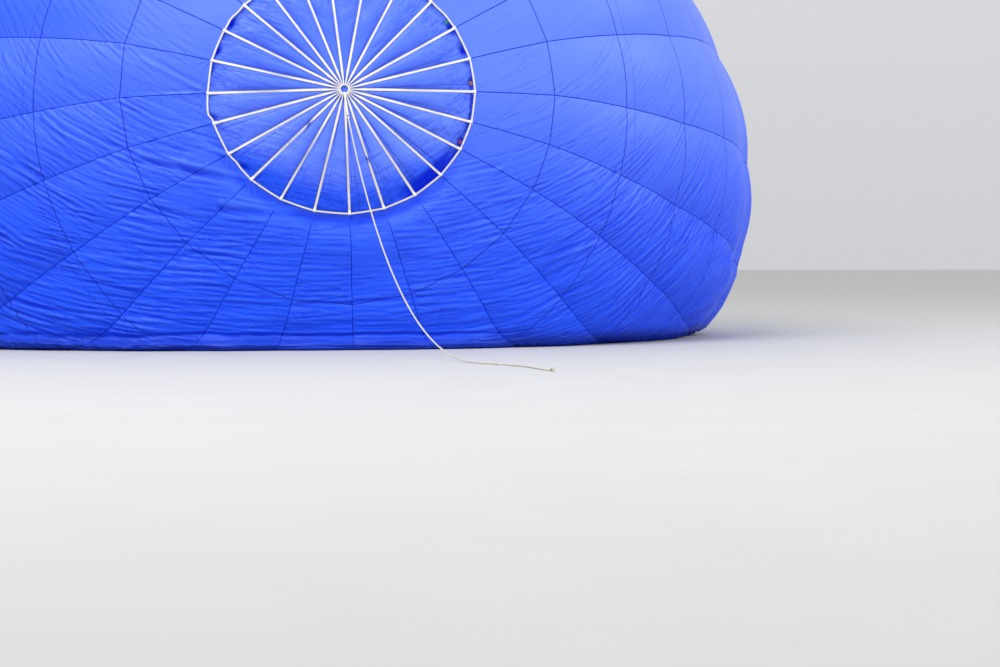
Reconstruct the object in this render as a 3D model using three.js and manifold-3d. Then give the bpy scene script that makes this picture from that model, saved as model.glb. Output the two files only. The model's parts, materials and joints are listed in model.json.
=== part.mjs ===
// Hot air balloon, as it lies during cold inflation: the envelope is part filled and
// lies on its side with the crown towards -Y, the basket lies on its side at +Y with its
// burner pointing into the mouth. Millimetres, +Z up, ground at z = 0. The origin is on the
// ground below the widest section of the envelope.
import * as THREE from 'three';
import { mergeVertices } from 'three/addons/utils/BufferGeometryUtils.js';
import Module from 'manifold-3d';

const wasm = await Module();
wasm.setup();

// ---------------------------------------------------------------- driving dimensions
const M = 1000;                 // metres to millimetres
const GORES = 24;               // vertical fabric strips round the envelope
const SKIN = 10;                // thickness of the envelope shell
const GORE_GAP = 2;             // gap between two neighbouring gores
const CROWN_Y = -6.6 * M;       // plane of the crown ring
const RIM_AT = 2.15;            // m along a gore from the crown to the edge of the vent
const MOUTH_AT = 24.9;          // m along a gore from the crown to the mouth
const PANEL = 1.4;              // m, height of one fabric panel along a gore
const GROUND_SOFT = 0.55;       // m, how softly the skin turns onto the ground
const BULGE = 0.2;              // m, how far a gore stands out between its seams
const VENT_SQUASH = 0.89;       // height over width of the sagging vent
const TOP_FLAT = 0.085;         // share by which the slack top lies lower than a round section
const FOOT_TUCK = 0.028;        // share by which the sides tuck in towards the ground
const TAPE_W = 28;              // width of the white load tapes
const TAPE_T = 3;
const RIM_W = 40;               // width of the white tape round the vent
const PARA_AT = 2.38;           // m, edge of the parachute panel
const PARA_GAP = 40;            // parachute panel behind the crown tapes
const RING_IN = 50, RING_OUT = 74, RING_T = 24;   // crown ring radii and thickness
const ROPE_R = 12;              // crown line radius
const FRAME_Y = 13.75 * M;      // plane of the burner load frame
const RIG_Z = 0.63 * M;         // height of the basket axis above the ground
const FRAME_X = 500, FRAME_Z = 400, FRAME_R = 17; // load frame half sizes, tube radius
const GIMBAL_X = 335, GIMBAL_Z = 245, GIMBAL_R = 12;
const PIN_R = 8, PIN_HOLE_R = 9;
const CAN_R = 140, CAN_L = 380, CAN_X = 155;
const RIM_Y = 14.62 * M;        // top face of the basket's padded rim
const RIM_H = 80;
const WALL_L = 1000;            // wicker wall height
const WALL_T = 30;
const BASE_H = 60;
const BASKET_X = 750, BASKET_Z = 600;   // half sizes outside the wicker
const LIP = 30;                 // rim and base stand this far outside the wicker
const CORNER_R = 120;
const CYL_R = 150, CYL_L = 780; // fuel cylinder

// Gore line of the part-filled envelope: [along: m from the crown, slope: degrees that the
// skin has turned away from the crown plane]
const MERIDIAN = [[0, 2], [2.2, 5], [3.7, 15], [5.2, 27], [6.7, 40], [8.2, 54], [9.7, 69],
  [11.2, 83], [12.7, 96], [14.2, 107], [15.7, 116], [17.2, 122], [18.7, 126], [20.2, 128],
  [21.7, 129], [24.9, 129], [25.2, 129]];
// Sagging centre line: [back: m behind the crown plane, height: m above the ground]
const AXIS_HEIGHT = [[-1, 4.2], [0, 4.2], [0.36, 4.14], [0.82, 3.97], [1.54, 3.75], [3.5, 3.37], [6.6, 3.03], [10, 2.7],
  [14, 2.2], [18, 1.85]];
// Stations along a gore, m from the crown: one at each horizontal panel seam
const STATIONS = [];
for (let s = RIM_AT; s < MOUTH_AT - 1; s += PANEL) STATIONS.push(s);
STATIONS.push(MOUTH_AT);

// ---------------------------------------------------------------- colours
const look = (color, roughness, metalness = 0) => new THREE.MeshStandardMaterial({ color, roughness, metalness });
const BLUE = [0x3f66f2, 0.5], BLUE_DARK = [0x2446b8, 0.8], WHITE = [0xe9e7dd, 0.8],
  ALLOY = [0xb9bcc0, 0.35, 0.9], STEEL = [0xa9acb0, 0.3, 1], WICKER = [0xa9773f, 0.75],
  LEATHER = [0x5a3a22, 0.6], WOOD = [0xb48a58, 0.65], BLACK = [0x1d1d20, 0.55], GREY = [0xc9ccd0, 0.3, 0.8];

const balloon = new THREE.Group();
function add(name, geometry, colour) {
  const mesh = new THREE.Mesh(geometry, look(...colour));
  mesh.name = name;
  balloon.add(mesh);
  return mesh;
}

// ---------------------------------------------------------------- helpers
const rad = THREE.MathUtils.degToRad;
const V = (x, y, z) => new THREE.Vector3(x, y, z);
function table(rows, x) {
  if (x <= rows[0][0]) return rows[0][1];
  for (let i = 1; i < rows.length; i++) {
    const [x0, y0] = rows[i - 1], [x1, y1] = rows[i];
    if (x <= x1) return y0 + (y1 - y0) * (x - x0) / (x1 - x0);
  }
  return rows[rows.length - 1][1];
}
// r and back along the gore line, integrated once
const LINE_STEP = 0.01, LINE = [[0, 0]];
for (let i = 1; i * LINE_STEP <= 25.3; i++) {
  const slope = rad(table(MERIDIAN, (i - 0.5) * LINE_STEP)), [r, b] = LINE[i - 1];
  LINE.push([r + Math.cos(slope) * LINE_STEP, b + Math.sin(slope) * LINE_STEP]);
}
function line(s) {
  const i = Math.min(Math.floor(s / LINE_STEP), LINE.length - 2), f = s / LINE_STEP - i;
  return [0, 1].map(c => LINE[i][c] + (LINE[i + 1][c] - LINE[i][c]) * f);
}
const onGround = z => z < -GROUND_SOFT ? 0 : z > GROUND_SOFT ? z : (z + GROUND_SOFT) ** 2 / (4 * GROUND_SOFT);
// the gores are a little uneven round the sagging crown: lean of each seam from an even
// spacing, in degrees, counter-clockwise from +X as seen from the crown end
const LEAN = [0.7, 0.2, 0, 0.7, 2, 4, 6.8, 6.6, 6.9, 4.8, 3.9, 2.8, 1.8, -0.3, -0.9, -1.1, -0.3, 1.1, 2.7, 4.2, 5, 5, 4.5, 2.4];
const seam = k => rad(360 * k / GORES + LEAN[k % GORES]);
function sag(s, angle) {
  const step = THREE.MathUtils.smoothstep, up = Math.asin(Math.sin(angle)) / rad(1);
  return 1 - step(s, 4.5, 9) * (TOP_FLAT * step(up, -4, 36) + FOOT_TUCK * step(-up, 22, 42) * (1 - step(-up, 68, 88)));
}
function skin(s, angle, out = 0, inward = 0) {
  const [r, b] = line(s), slope = rad(table(MERIDIAN, s)), h = table(AXIS_HEIGHT, b);
  const q = VENT_SQUASH + (1 - VENT_SQUASH) * THREE.MathUtils.clamp((s - 1.5) / 3, 0, 1);
  const c = Math.cos(angle), t = Math.sin(angle), e = q / Math.hypot(q * c, t) * sag(s, angle);
  const p = V((r * e * c + out * Math.sin(slope) * c) * M, CROWN_Y + (b - out * Math.cos(slope)) * M,
    onGround(h + r * e * t + out * Math.sin(slope) * t) * M);
  if (inward) p.addScaledVector(inwardNormal(s, angle), inward);
  return p;
}
function inwardNormal(s, angle) {
  const e = 1e-3, s0 = Math.max(s - e, 0.02);
  const ds = skin(s0 + 2 * e, angle).sub(skin(s0, angle)), da = skin(s, angle + e).sub(skin(s, angle - e));
  return ds.cross(da).normalize().negate();
}
function along(s, angle) { return skin(s, angle + 1e-4).sub(skin(s, angle - 1e-4)).normalize(); }
function closed(positions, faces) {
  const g = new THREE.BufferGeometry();
  g.setAttribute('position', new THREE.Float32BufferAttribute(positions.flatMap(p => [p.x, p.y, p.z]), 3));
  g.setIndex(faces.flat());
  return volume(g) < 0 ? flipped(g) : g;
}
function volume(g) {
  const p = g.attributes.position, i = g.index.array, a = V(), b = V(), c = V();
  let v = 0;
  for (let k = 0; k < i.length; k += 3) {
    a.fromBufferAttribute(p, i[k]); b.fromBufferAttribute(p, i[k + 1]); c.fromBufferAttribute(p, i[k + 2]);
    v += a.dot(b.cross(c));
  }
  return v;
}
function flipped(g) {
  const i = g.index.array;
  for (let k = 0; k < i.length; k += 3) [i[k + 1], i[k + 2]] = [i[k + 2], i[k + 1]];
  return g;
}
// a sheet of rows x cols points with a second sheet behind it, closed round its edges
function shell(front, back, wrap = false) {
  const rows = front.length, cols = front[0].length, n = rows * cols, f = [];
  const at = (i, j) => i * cols + (j % cols);
  const last = wrap ? cols : cols - 1;
  const quad = (a, b, c, d) => f.push([a, b, c], [a, c, d]);
  for (let i = 0; i < rows - 1; i++) for (let j = 0; j < last; j++) {
    quad(at(i, j), at(i, j + 1), at(i + 1, j + 1), at(i + 1, j));
    quad(n + at(i, j), n + at(i + 1, j), n + at(i + 1, j + 1), n + at(i, j + 1));
  }
  for (let j = 0; j < last; j++) {
    quad(at(0, j), n + at(0, j), n + at(0, j + 1), at(0, j + 1));
    quad(at(rows - 1, j), at(rows - 1, j + 1), n + at(rows - 1, j + 1), n + at(rows - 1, j));
  }
  if (!wrap) for (let i = 0; i < rows - 1; i++) {
    quad(at(i, 0), at(i + 1, 0), n + at(i + 1, 0), n + at(i, 0));
    quad(at(i, cols - 1), n + at(i, cols - 1), n + at(i + 1, cols - 1), at(i + 1, cols - 1));
  }
  return closed([...front.flat(), ...back.flat()], f);
}
// joining and cutting closed bodies
function solid(g) {
  const c = g.clone();
  for (const a of ['normal', 'uv']) c.deleteAttribute(a);
  const m = mergeVertices(c, 1e-3);
  return new wasm.Manifold(new wasm.Mesh({ numProp: 3,
    vertProperties: new Float32Array(m.attributes.position.array), triVerts: new Uint32Array(m.index.array) }));
}
function geometryOf(s) {
  const m = s.getMesh(), g = new THREE.BufferGeometry();
  g.setAttribute('position', new THREE.BufferAttribute(new Float32Array(m.vertProperties), 3));
  g.setIndex(new THREE.BufferAttribute(new Uint32Array(m.triVerts), 1));
  return g;
}
function join(...gs) { return gs.map(solid).reduce((a, b) => a.add(b)); }
function rod(a, b, r, sides = 12) {
  const d = b.clone().sub(a), g = new THREE.CylinderGeometry(r, r, d.length(), sides);
  g.applyQuaternion(new THREE.Quaternion().setFromUnitVectors(V(0, 1, 0), d.clone().normalize()));
  return g.translate(...a.clone().add(b).multiplyScalar(0.5).toArray());
}
const ball = (p, r, w = 12, h = 8) => new THREE.SphereGeometry(r, w, h).translate(p.x, p.y, p.z);
const box = (x, y, z, cx, cy, cz) => new THREE.BoxGeometry(x, y, z).translate(cx, cy, cz);
function roundedRect(hx, hz, r, target = new THREE.Shape()) {
  target.moveTo(hx, -hz + r);
  target.lineTo(hx, hz - r); target.absarc(hx - r, hz - r, r, 0, Math.PI / 2);
  target.lineTo(-hx + r, hz); target.absarc(-hx + r, hz - r, r, Math.PI / 2, Math.PI);
  target.lineTo(-hx, -hz + r); target.absarc(-hx + r, -hz + r, r, Math.PI, Math.PI * 1.5);
  target.lineTo(hx - r, -hz); target.absarc(hx - r, -hz + r, r, Math.PI * 1.5, Math.PI * 2);
  return target;
}
// a shape in the X-Z plane run along +Y from y0, centred on the basket axis
function run(shape, y0, length, curveSegments = 4) {
  const g = new THREE.ExtrudeGeometry(shape, { depth: length, bevelEnabled: false, curveSegments });
  return g.rotateX(Math.PI / 2).translate(0, y0 + length, RIG_Z);
}
// a lathe about an axis along Y through x, z; profile rows are [radius, y]
function turned(rows, x, z, sides = 24) {
  const g = new THREE.LatheGeometry(rows.map(([r, y]) => new THREE.Vector2(r, y)), sides);
  return (volume(g) < 0 ? flipped(g) : g).translate(x, 0, z);
}

// ---------------------------------------------------------------- envelope gores
const ACROSS = [0, 0.5, 1];      // columns across a gore: seam, middle, seam
for (let k = 0; k < GORES; k++) {
  const a0 = seam(k), a1 = seam(k + 1), front = [], back = [];
  for (const s of STATIONS) {
    const ends = THREE.MathUtils.clamp((s - RIM_AT) / 4, 0, 1) * THREE.MathUtils.clamp((MOUTH_AT - s) / 4, 0, 1);
    const f = [], b = [];
    for (const u of ACROSS) {
      const a = a0 + (a1 - a0) * u, out = BULGE * ends * 4 * u * (1 - u);
      const shift = along(s, a).multiplyScalar(u === 0 ? GORE_GAP / 2 : u === 1 ? -GORE_GAP / 2 : 0);
      const p = skin(s, a, out).add(shift);
      f.push(p);
      b.push(p.clone().addScaledVector(inwardNormal(s, a), SKIN));
    }
    front.push(f); back.push(b);
  }
  add(`gore_${String(k + 1).padStart(2, '0')}`, shell(front, back), BLUE);
}

// ---------------------------------------------------------------- vent rim, mouth band, parachute
const ROUND = [];
for (let k = 0; k < GORES; k++) ROUND.push(seam(k), (seam(k) + seam(k + 1)) / 2);
function band(from, to, thick) {
  const sides = [from, to].map(s => ROUND.map(a => skin(s, a)));
  const inner = [from, to].map(s => ROUND.map(a => skin(s, a).addScaledVector(inwardNormal(s, a), thick)));
  return shell(sides, inner, true);
}
add('vent_rim_tape', band(RIM_AT - RIM_W / M, RIM_AT - 0.0006, SKIN), WHITE);
add('mouth_band', band(MOUTH_AT + 0.0006, MOUTH_AT + 0.07, SKIN + 4), BLUE_DARK);
{
  // shallow round panel behind the crown tapes, a little larger than the vent
  const rings = [0.5, 1.2, 1.8, PARA_AT], pts = [], faces = [], n = ROUND.length;
  const at = (s, a, gap) => { const p = skin(s, a); p.y += gap; return p; };
  for (const gap of [PARA_GAP, PARA_GAP + SKIN]) {
    pts.push(V(0, CROWN_Y + gap, table(AXIS_HEIGHT, 0) * M));
    for (const s of rings) for (const a of ROUND) pts.push(at(s, a, gap));
  }
  const side = 1 + rings.length * n;
  for (let j = 0; j < n; j++) {
    const j1 = (j + 1) % n;
    faces.push([0, 1 + j, 1 + j1], [side, side + 1 + j1, side + 1 + j]);
    for (let i = 0; i < rings.length - 1; i++) {
      const a = 1 + i * n + j, b = 1 + i * n + j1, c = a + n, d = b + n;
      faces.push([a, c, d], [a, d, b], [side + a, side + d, side + c], [side + a, side + b, side + d]);
    }
    const a = 1 + (rings.length - 1) * n + j, b = 1 + (rings.length - 1) * n + j1;
    faces.push([a, side + a, side + b], [a, side + b, b]);
  }
  add('parachute_panel', closed(pts, faces), BLUE);
}

// ---------------------------------------------------------------- crown ring, crown tapes, crown line fittings
const CROWN_Z = table(AXIS_HEIGHT, 0) * M;
add('crown_ring', turned([[RING_IN, -RING_T / 2 + 5], [RING_IN + 5, -RING_T / 2], [RING_OUT - 5, -RING_T / 2], [RING_OUT, -RING_T / 2 + 5],
  [RING_OUT, RING_T / 2 - 5], [RING_OUT - 5, RING_T / 2], [RING_IN + 5, RING_T / 2], [RING_IN, RING_T / 2 - 5], [RING_IN, -RING_T / 2 + 5]],
  0, CROWN_Z, 32).translate(0, CROWN_Y, 0), ALLOY);
{
  // one star of 24 tapes, joined round the crown ring where they lie side by side
  const HUB_IN = RING_OUT + 1, HUB_OUT = GORES * TAPE_W / (2 * Math.PI) * 1.02, front = [], back = [], pts = [], faces = [];
  // per tape: hub inner point, two root corners, two tip corners
  const layer = y => {
    for (let k = 0; k < GORES; k++) {
      const a = seam(k), mid = (seam(k) + seam(k + 1)) / 2, tip = skin(RIM_AT - RIM_W / M - 0.0045, a);
      const d = tip.clone().sub(V(0, CROWN_Y, CROWN_Z)).normalize(), w = V(-d.z, 0, d.x).normalize().multiplyScalar(TAPE_W / 2);
      const root = V(0, CROWN_Y, CROWN_Z).addScaledVector(d, HUB_OUT);
      for (const p of [V(Math.cos(a) * HUB_IN, CROWN_Y, CROWN_Z + Math.sin(a) * HUB_IN), root.clone().sub(w), root.clone().add(w),
        tip.clone().sub(w), tip.clone().add(w)]) { p.y += y; pts.push(p); }
    }
  };
  layer(-TAPE_T / 2); layer(TAPE_T / 2);
  const S = GORES * 5, P = (k, c, l) => l * S + (k % GORES) * 5 + c;
  const tri = (a, b, c) => faces.push([P(...a, 0), P(...b, 0), P(...c, 0)], [P(...a, 1), P(...c, 1), P(...b, 1)]);
  const edge = (a, b) => faces.push([P(...a, 0), P(...a, 1), P(...b, 1)], [P(...a, 0), P(...b, 1), P(...b, 0)]);
  for (let k = 0; k < GORES; k++) {
    const n = k + 1;
    tri([k, 0], [k, 1], [k, 2]);
    tri([k, 1], [k, 3], [k, 4]); tri([k, 1], [k, 4], [k, 2]);
    tri([k, 0], [k, 2], [n, 1]); tri([k, 0], [n, 1], [n, 0]);
    edge([k, 1], [k, 3]); edge([k, 3], [k, 4]); edge([k, 4], [k, 2]); edge([k, 2], [n, 1]); edge([n, 0], [k, 0]);
  }
  add('crown_tapes', closed(pts, faces), WHITE);
}
// strop from the ring down to the shackle that carries the crown line
const STROP_TOP = V(4, CROWN_Y - RING_T / 2 - 9, CROWN_Z - 40), STROP_END = V(48, CROWN_Y - 40, 3800);
{
  const d = STROP_END.clone().sub(STROP_TOP).normalize(), w = V(-d.z, 0, d.x).normalize().multiplyScalar(14), t = d.clone().cross(w).normalize().multiplyScalar(4);
  const c = (p, sw, st) => p.clone().addScaledVector(w, sw).addScaledVector(t, st);
  const front = [STROP_TOP, STROP_END].map(p => [c(p, -1, -1), c(p, 1, -1)]), back = [STROP_TOP, STROP_END].map(p => [c(p, -1, 1), c(p, 1, 1)]);
  add('crown_strop', shell(front, back), WHITE);
}
const SHACKLE = STROP_END.clone().add(V(5, -4, -34));
add('crown_shackle', new THREE.SphereGeometry(26, 12, 8).scale(0.9, 0.8, 1.15).translate(SHACKLE.x, SHACKLE.y, SHACKLE.z), STEEL);

// ---------------------------------------------------------------- crown line
// hangs from the shackle as a catenary, touches down and lies on the ground to its knot
const SAG = 2.5, REACH = 3.91;                  // m: catenary parameter, distance to touchdown
const HEADING = V(0.334, -0.943, 0).normalize();
const LAY = [[0.35, 0.02], [0.8, 0.09], [1.25, 0.10], [1.7, 0.02], [2.05, -0.07], [2.3, -0.10]]; // [m past touchdown, m aside]
const LINE_TOP = SHACKLE.clone().add(V(2, -6, -30));
const path = [];
{
  const drop = SAG * (Math.cosh(REACH / SAG) - 1), scale = (LINE_TOP.z - ROPE_R - 1) / (drop * M);
  for (let i = 0; i <= 24; i++) {
    const u = REACH * (1 - (1 - i / 24) ** 1.15);
    path.push(V(LINE_TOP.x + HEADING.x * u * M, LINE_TOP.y + HEADING.y * u * M,
      ROPE_R + 1 + SAG * (Math.cosh((REACH - u) / SAG) - 1) * M * scale));
  }
  const foot = path[path.length - 1];
  for (const [on, aside] of LAY) path.push(V(foot.x + (HEADING.x * on - HEADING.y * aside) * M, foot.y + (HEADING.y * on + HEADING.x * aside) * M, ROPE_R + 1));
}
const ropeCurve = new THREE.CatmullRomCurve3(path, false, 'centripetal');
{
  const section = new THREE.Shape();
  for (let i = 0; i < 8; i++) {
    const a = i * Math.PI / 4 + Math.PI / 8, p = [Math.cos(a) * ROPE_R, Math.sin(a) * ROPE_R];
    i ? section.lineTo(...p) : section.moveTo(...p);
  }
  section.closePath();
  add('crown_line', new THREE.ExtrudeGeometry(section, { steps: 80, bevelEnabled: false, extrudePath: ropeCurve }), WHITE);
  const end = path[path.length - 1], before = path[path.length - 2], d = end.clone().sub(before).normalize();
  const knot = end.clone().addScaledVector(d, 46);
  add('crown_line_knot', new THREE.SphereGeometry(34, 12, 8).scale(1.25, 1, 0.88).rotateZ(Math.atan2(d.y, d.x)).translate(knot.x, knot.y, 31), WHITE);
}

// ---------------------------------------------------------------- flying wires
// four fans of six wires from the mouth to the corners of the load frame: [x side, z side, first gore seam]
const FANS = [[1, 1, 0], [-1, 1, 6], [-1, -1, 12], [1, -1, 18]];
FANS.forEach(([sx, sz, first], i) => {
  const c = V(sx * FRAME_X, FRAME_Y - 70, RIG_Z + sz * FRAME_Z), parts = [box(64, 58, 64, c.x, c.y, c.z)];
  for (let k = first; k < first + 6; k++) {
    // each wire enters the fitting at its own place, 25 mm from its centre
    const a = seam(k), end = V(c.x + 25 * Math.cos(a), c.y - 21, c.z + 25 * Math.sin(a));
    const from = skin(MOUTH_AT + 0.07, a, 0, (SKIN + 4) / 2).addScaledVector(V(0, 1, 0), 8);
    from.z = Math.max(from.z, 12);
    parts.push(rod(from, end, 2.5, 6));
  }
  add(`flying_wires_${i + 1}`, geometryOf(join(...parts)), STEEL);
});

// ---------------------------------------------------------------- load frame, gimbal, burner
const at = (x, z, y = 0) => V(x, FRAME_Y + y, RIG_Z + z);
function ringOf(hx, hz, r, sides) {
  const corners = [[1, 1], [-1, 1], [-1, -1], [1, -1]].map(([a, b]) => at(a * hx, b * hz));
  return corners.flatMap((c, i) => [rod(c, corners[(i + 1) % 4], r, sides), ball(c, r, sides, 8)]);
}
{
  const blocks = FANS.map(([sx, sz]) => box(90, 80, 90, sx * FRAME_X, FRAME_Y, RIG_Z + sz * FRAME_Z));
  const bosses = [1, -1].map(s => rod(at(s * (FRAME_X - 50), 0), at(s * FRAME_X, 0), 24, 16));
  const holes = [1, -1].map(s => solid(rod(at(s * (FRAME_X - 51), 0), at(s * (FRAME_X - 15), 0), PIN_HOLE_R, 16)));
  let f = join(...ringOf(FRAME_X, FRAME_Z, FRAME_R, 12), ...blocks, ...bosses);
  for (const h of holes) f = f.subtract(h);
  add('load_frame', geometryOf(f), STEEL);
}
{
  const pins = [1, -1].map(s => rod(at(s * GIMBAL_X, 0), at(s * (FRAME_X - 18), 0), PIN_R, 16));
  const bosses = [1, -1].map(s => rod(at(0, s * (GIMBAL_Z - 40)), at(0, s * GIMBAL_Z), 22, 16));
  const holes = [1, -1].map(s => solid(rod(at(0, s * (GIMBAL_Z - 41)), at(0, s * (GIMBAL_Z - 8)), PIN_HOLE_R, 16)));
  let f = join(...ringOf(GIMBAL_X, GIMBAL_Z, GIMBAL_R, 12), ...pins, ...bosses);
  for (const h of holes) f = f.subtract(h);
  add('gimbal_frame', geometryOf(f), STEEL);
}
{
  const body = join(box(2 * CAN_X + 120, 70, 90, 0, FRAME_Y, RIG_Z), box(140, 60, 150, 0, FRAME_Y + 5, RIG_Z),
    ...[1, -1].map(s => rod(at(s * CAN_X, 0, -59), at(s * CAN_X, 0, 80), 40, 16)),
    ...[1, -1].map(s => rod(at(0, 0), at(0, s * (GIMBAL_Z - 12)), PIN_R, 16)),
    ...[1, -1].map(s => rod(at(s * CAN_X, 30, 20), at(s * CAN_X, 95, 20), 14, 12)));
  add('burner_block', geometryOf(body), ALLOY);
  [['left', -1], ['right', 1]].forEach(([side, s]) => {
    const y0 = FRAME_Y - 60, y1 = y0 - CAN_L;
    add(`burner_can_${side}`, turned([[0, y0], [CAN_R - 30, y0], [CAN_R - 4, y0 - 40], [CAN_R, y0 - 60], [CAN_R, y1], [CAN_R - 6, y1],
      [CAN_R - 6, y0 - 66], [CAN_R - 34, y0 - 20], [0, y0 - 20]], s * CAN_X, RIG_Z), STEEL);
  });
}
// ---------------------------------------------------------------- uprights
// padded poles from the frame corners to the basket rim, both ends square to the basket axis
const FOOT_X = 640, FOOT_Z = 490;
['upper_right', 'upper_left', 'lower_left', 'lower_right'].forEach((name, i) => {
  const [sx, sz] = FANS[i], a = at(sx * FRAME_X, sz * FRAME_Z, 40.5), b = V(sx * FOOT_X, RIM_Y - 0.5, RIG_Z + sz * FOOT_Z), ends = [];
  for (const c of [a, b]) {
    const r = [];
    for (let j = 0; j < 12; j++) r.push(V(c.x + 26 * Math.cos(j * Math.PI / 6), c.y, c.z + 26 * Math.sin(j * Math.PI / 6)));
    ends.push(r);
  }
  const pts = [...ends.flat(), a, b], f = [];
  for (let j = 0; j < 12; j++) {
    const k = (j + 1) % 12;
    f.push([j, k, 12 + k], [j, 12 + k, 12 + j], [24, k, j], [25, 12 + j, 12 + k]);
  }
  add(`upright_${name}`, closed(pts, f), LEATHER);
});

// ---------------------------------------------------------------- basket, lying on its long side
const WALL_Y = RIM_Y + RIM_H + 0.5, BASE_Y = WALL_Y + WALL_L + 0.5, END_Y = BASE_Y + BASE_H;
{
  const rim = roundedRect(BASKET_X + LIP, BASKET_Z + LIP, CORNER_R + LIP);
  rim.holes.push(roundedRect(BASKET_X - WALL_T - LIP, BASKET_Z - WALL_T - LIP, CORNER_R - WALL_T - 20, new THREE.Path()));
  add('basket_rim', run(rim, RIM_Y, RIM_H), LEATHER);
  const wall = roundedRect(BASKET_X, BASKET_Z, CORNER_R);
  wall.holes.push(roundedRect(BASKET_X - WALL_T, BASKET_Z - WALL_T, CORNER_R - WALL_T, new THREE.Path()));
  // one foot hole in each long wall
  let w = solid(run(wall, WALL_Y, WALL_L));
  for (const s of [1, -1]) w = w.subtract(solid(box(220, 120, 100, 0, WALL_Y + 560, RIG_Z + s * BASKET_Z)));
  add('basket_wicker', geometryOf(w), WICKER);
  add('basket_floor', run(roundedRect(BASKET_X + LIP, BASKET_Z + LIP, CORNER_R + LIP), BASE_Y, BASE_H), WOOD);
  [['left', -1], ['middle', 0], ['right', 1]].forEach(([side, s]) =>
    add(`runner_${side}`, box(70, 45, 1080, s * 560, END_Y + 23, RIG_Z), WOOD));
}
// ---------------------------------------------------------------- fuel cylinders
['upper_right', 'upper_left', 'lower_left', 'lower_right'].forEach((name, i) => {
  const [sx, sz] = FANS[i], y0 = BASE_Y - 1, y1 = y0 - CYL_L, h = -1;
  add(`fuel_cylinder_${name}`, turned([[0, y0], [CYL_R - 25, y0], [CYL_R - 25, y0 - 60], [CYL_R, y0 - 90], [CYL_R, y1 + 170],
    [CYL_R - 30, y1 + 115], [75, y1 + 90], [90, y1 + 90], [90, y1], [84, y1], [84, y1 + 84], [20, y1 + 84], [20, y1 + 20], [0, y1 + 20]],
    sx * 555, RIG_Z + sz * 400), GREY);
});

export default balloon;
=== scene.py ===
import json, math
import bpy, bmesh
import numpy as np
from mathutils import Vector, Matrix

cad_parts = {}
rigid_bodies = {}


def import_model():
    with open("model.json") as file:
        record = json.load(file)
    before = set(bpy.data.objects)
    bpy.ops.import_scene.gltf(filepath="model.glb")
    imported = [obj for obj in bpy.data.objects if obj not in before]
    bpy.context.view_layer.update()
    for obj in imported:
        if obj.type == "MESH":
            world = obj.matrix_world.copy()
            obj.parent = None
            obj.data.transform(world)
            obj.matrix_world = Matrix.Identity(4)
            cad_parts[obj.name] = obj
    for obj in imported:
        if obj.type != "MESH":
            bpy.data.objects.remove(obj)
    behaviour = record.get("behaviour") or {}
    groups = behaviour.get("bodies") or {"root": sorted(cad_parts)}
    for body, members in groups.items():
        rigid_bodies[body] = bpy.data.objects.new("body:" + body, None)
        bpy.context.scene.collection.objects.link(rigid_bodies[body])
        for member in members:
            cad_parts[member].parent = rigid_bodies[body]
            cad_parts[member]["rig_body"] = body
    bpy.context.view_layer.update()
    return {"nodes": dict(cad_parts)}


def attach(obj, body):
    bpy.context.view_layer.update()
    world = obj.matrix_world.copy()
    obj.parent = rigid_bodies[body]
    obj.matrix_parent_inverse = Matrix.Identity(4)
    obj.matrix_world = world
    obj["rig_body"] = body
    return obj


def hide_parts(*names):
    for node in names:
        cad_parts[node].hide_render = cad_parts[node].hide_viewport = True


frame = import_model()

scene = bpy.context.scene

# ------------------------------------------------------------------ the shape's driving numbers, in metres
GORES = 24
CROWN_Y = -6.6
RIM_AT, MOUTH_AT, PANEL = 2.15, 24.9, 1.4
TOP_FLAT, FOOT_TUCK = 0.085, 0.028
GROUND_SOFT, VENT_SQUASH = 0.55, 0.89
BULGE_SEEN, SEAM_LIFT = 0.085, 0.085           # how far a gore's middle stands out of its seams, and the seams out of the plain shape
CROWN_Z = 4.2
RIG_Z, FRAME_Y = 0.63, 13.75
# [along, slope in degrees] and [behind the crown plane, height of the middle line]
MERIDIAN = np.array([[0, 2], [2.2, 5], [3.7, 15], [5.2, 27], [6.7, 40], [8.2, 54], [9.7, 69], [11.2, 83], [12.7, 96],
                     [14.2, 107], [15.7, 116], [17.2, 122], [18.7, 126], [20.2, 128], [21.7, 129], [24.9, 129], [25.2, 129]])
AXIS_HEIGHT = np.array([[-1, 4.2], [0, 4.2], [0.36, 4.14], [0.82, 3.97], [1.54, 3.75], [3.5, 3.37], [6.6, 3.03], [10, 2.7], [14, 2.2], [18, 1.85]])
# lean of each gore seam from an even spacing, in degrees, counter-clockwise from +X
LEAN = np.array([0.7, 0.2, 0, 0.7, 2, 4, 6.8, 6.6, 6.9, 4.8, 3.9, 2.8, 1.8, -0.3, -0.9, -1.1, -0.3, 1.1, 2.7, 4.2, 5, 5, 4.5, 2.4])
SEAM = np.radians(15.0 * np.arange(GORES) + LEAN)
SEAM_W = np.append(SEAM, SEAM[0] + 2 * np.pi)          # with the first seam again after the last

# ------------------------------------------------------------------ camera, at the photograph's viewing angle
cam_data = bpy.data.cameras.new("view")
cam_data.sensor_width, cam_data.sensor_fit, cam_data.lens = 36.0, "HORIZONTAL", 72.0
cam_data.clip_end = 400
camera = bpy.data.objects.new("view", cam_data)
scene.collection.objects.link(camera)
camera.location = (-3.9242, -38.56, 1.55)
camera.rotation_euler = (math.radians(90 - 2.2477), 0, math.radians(-11.4316))
scene.camera = camera

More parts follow.
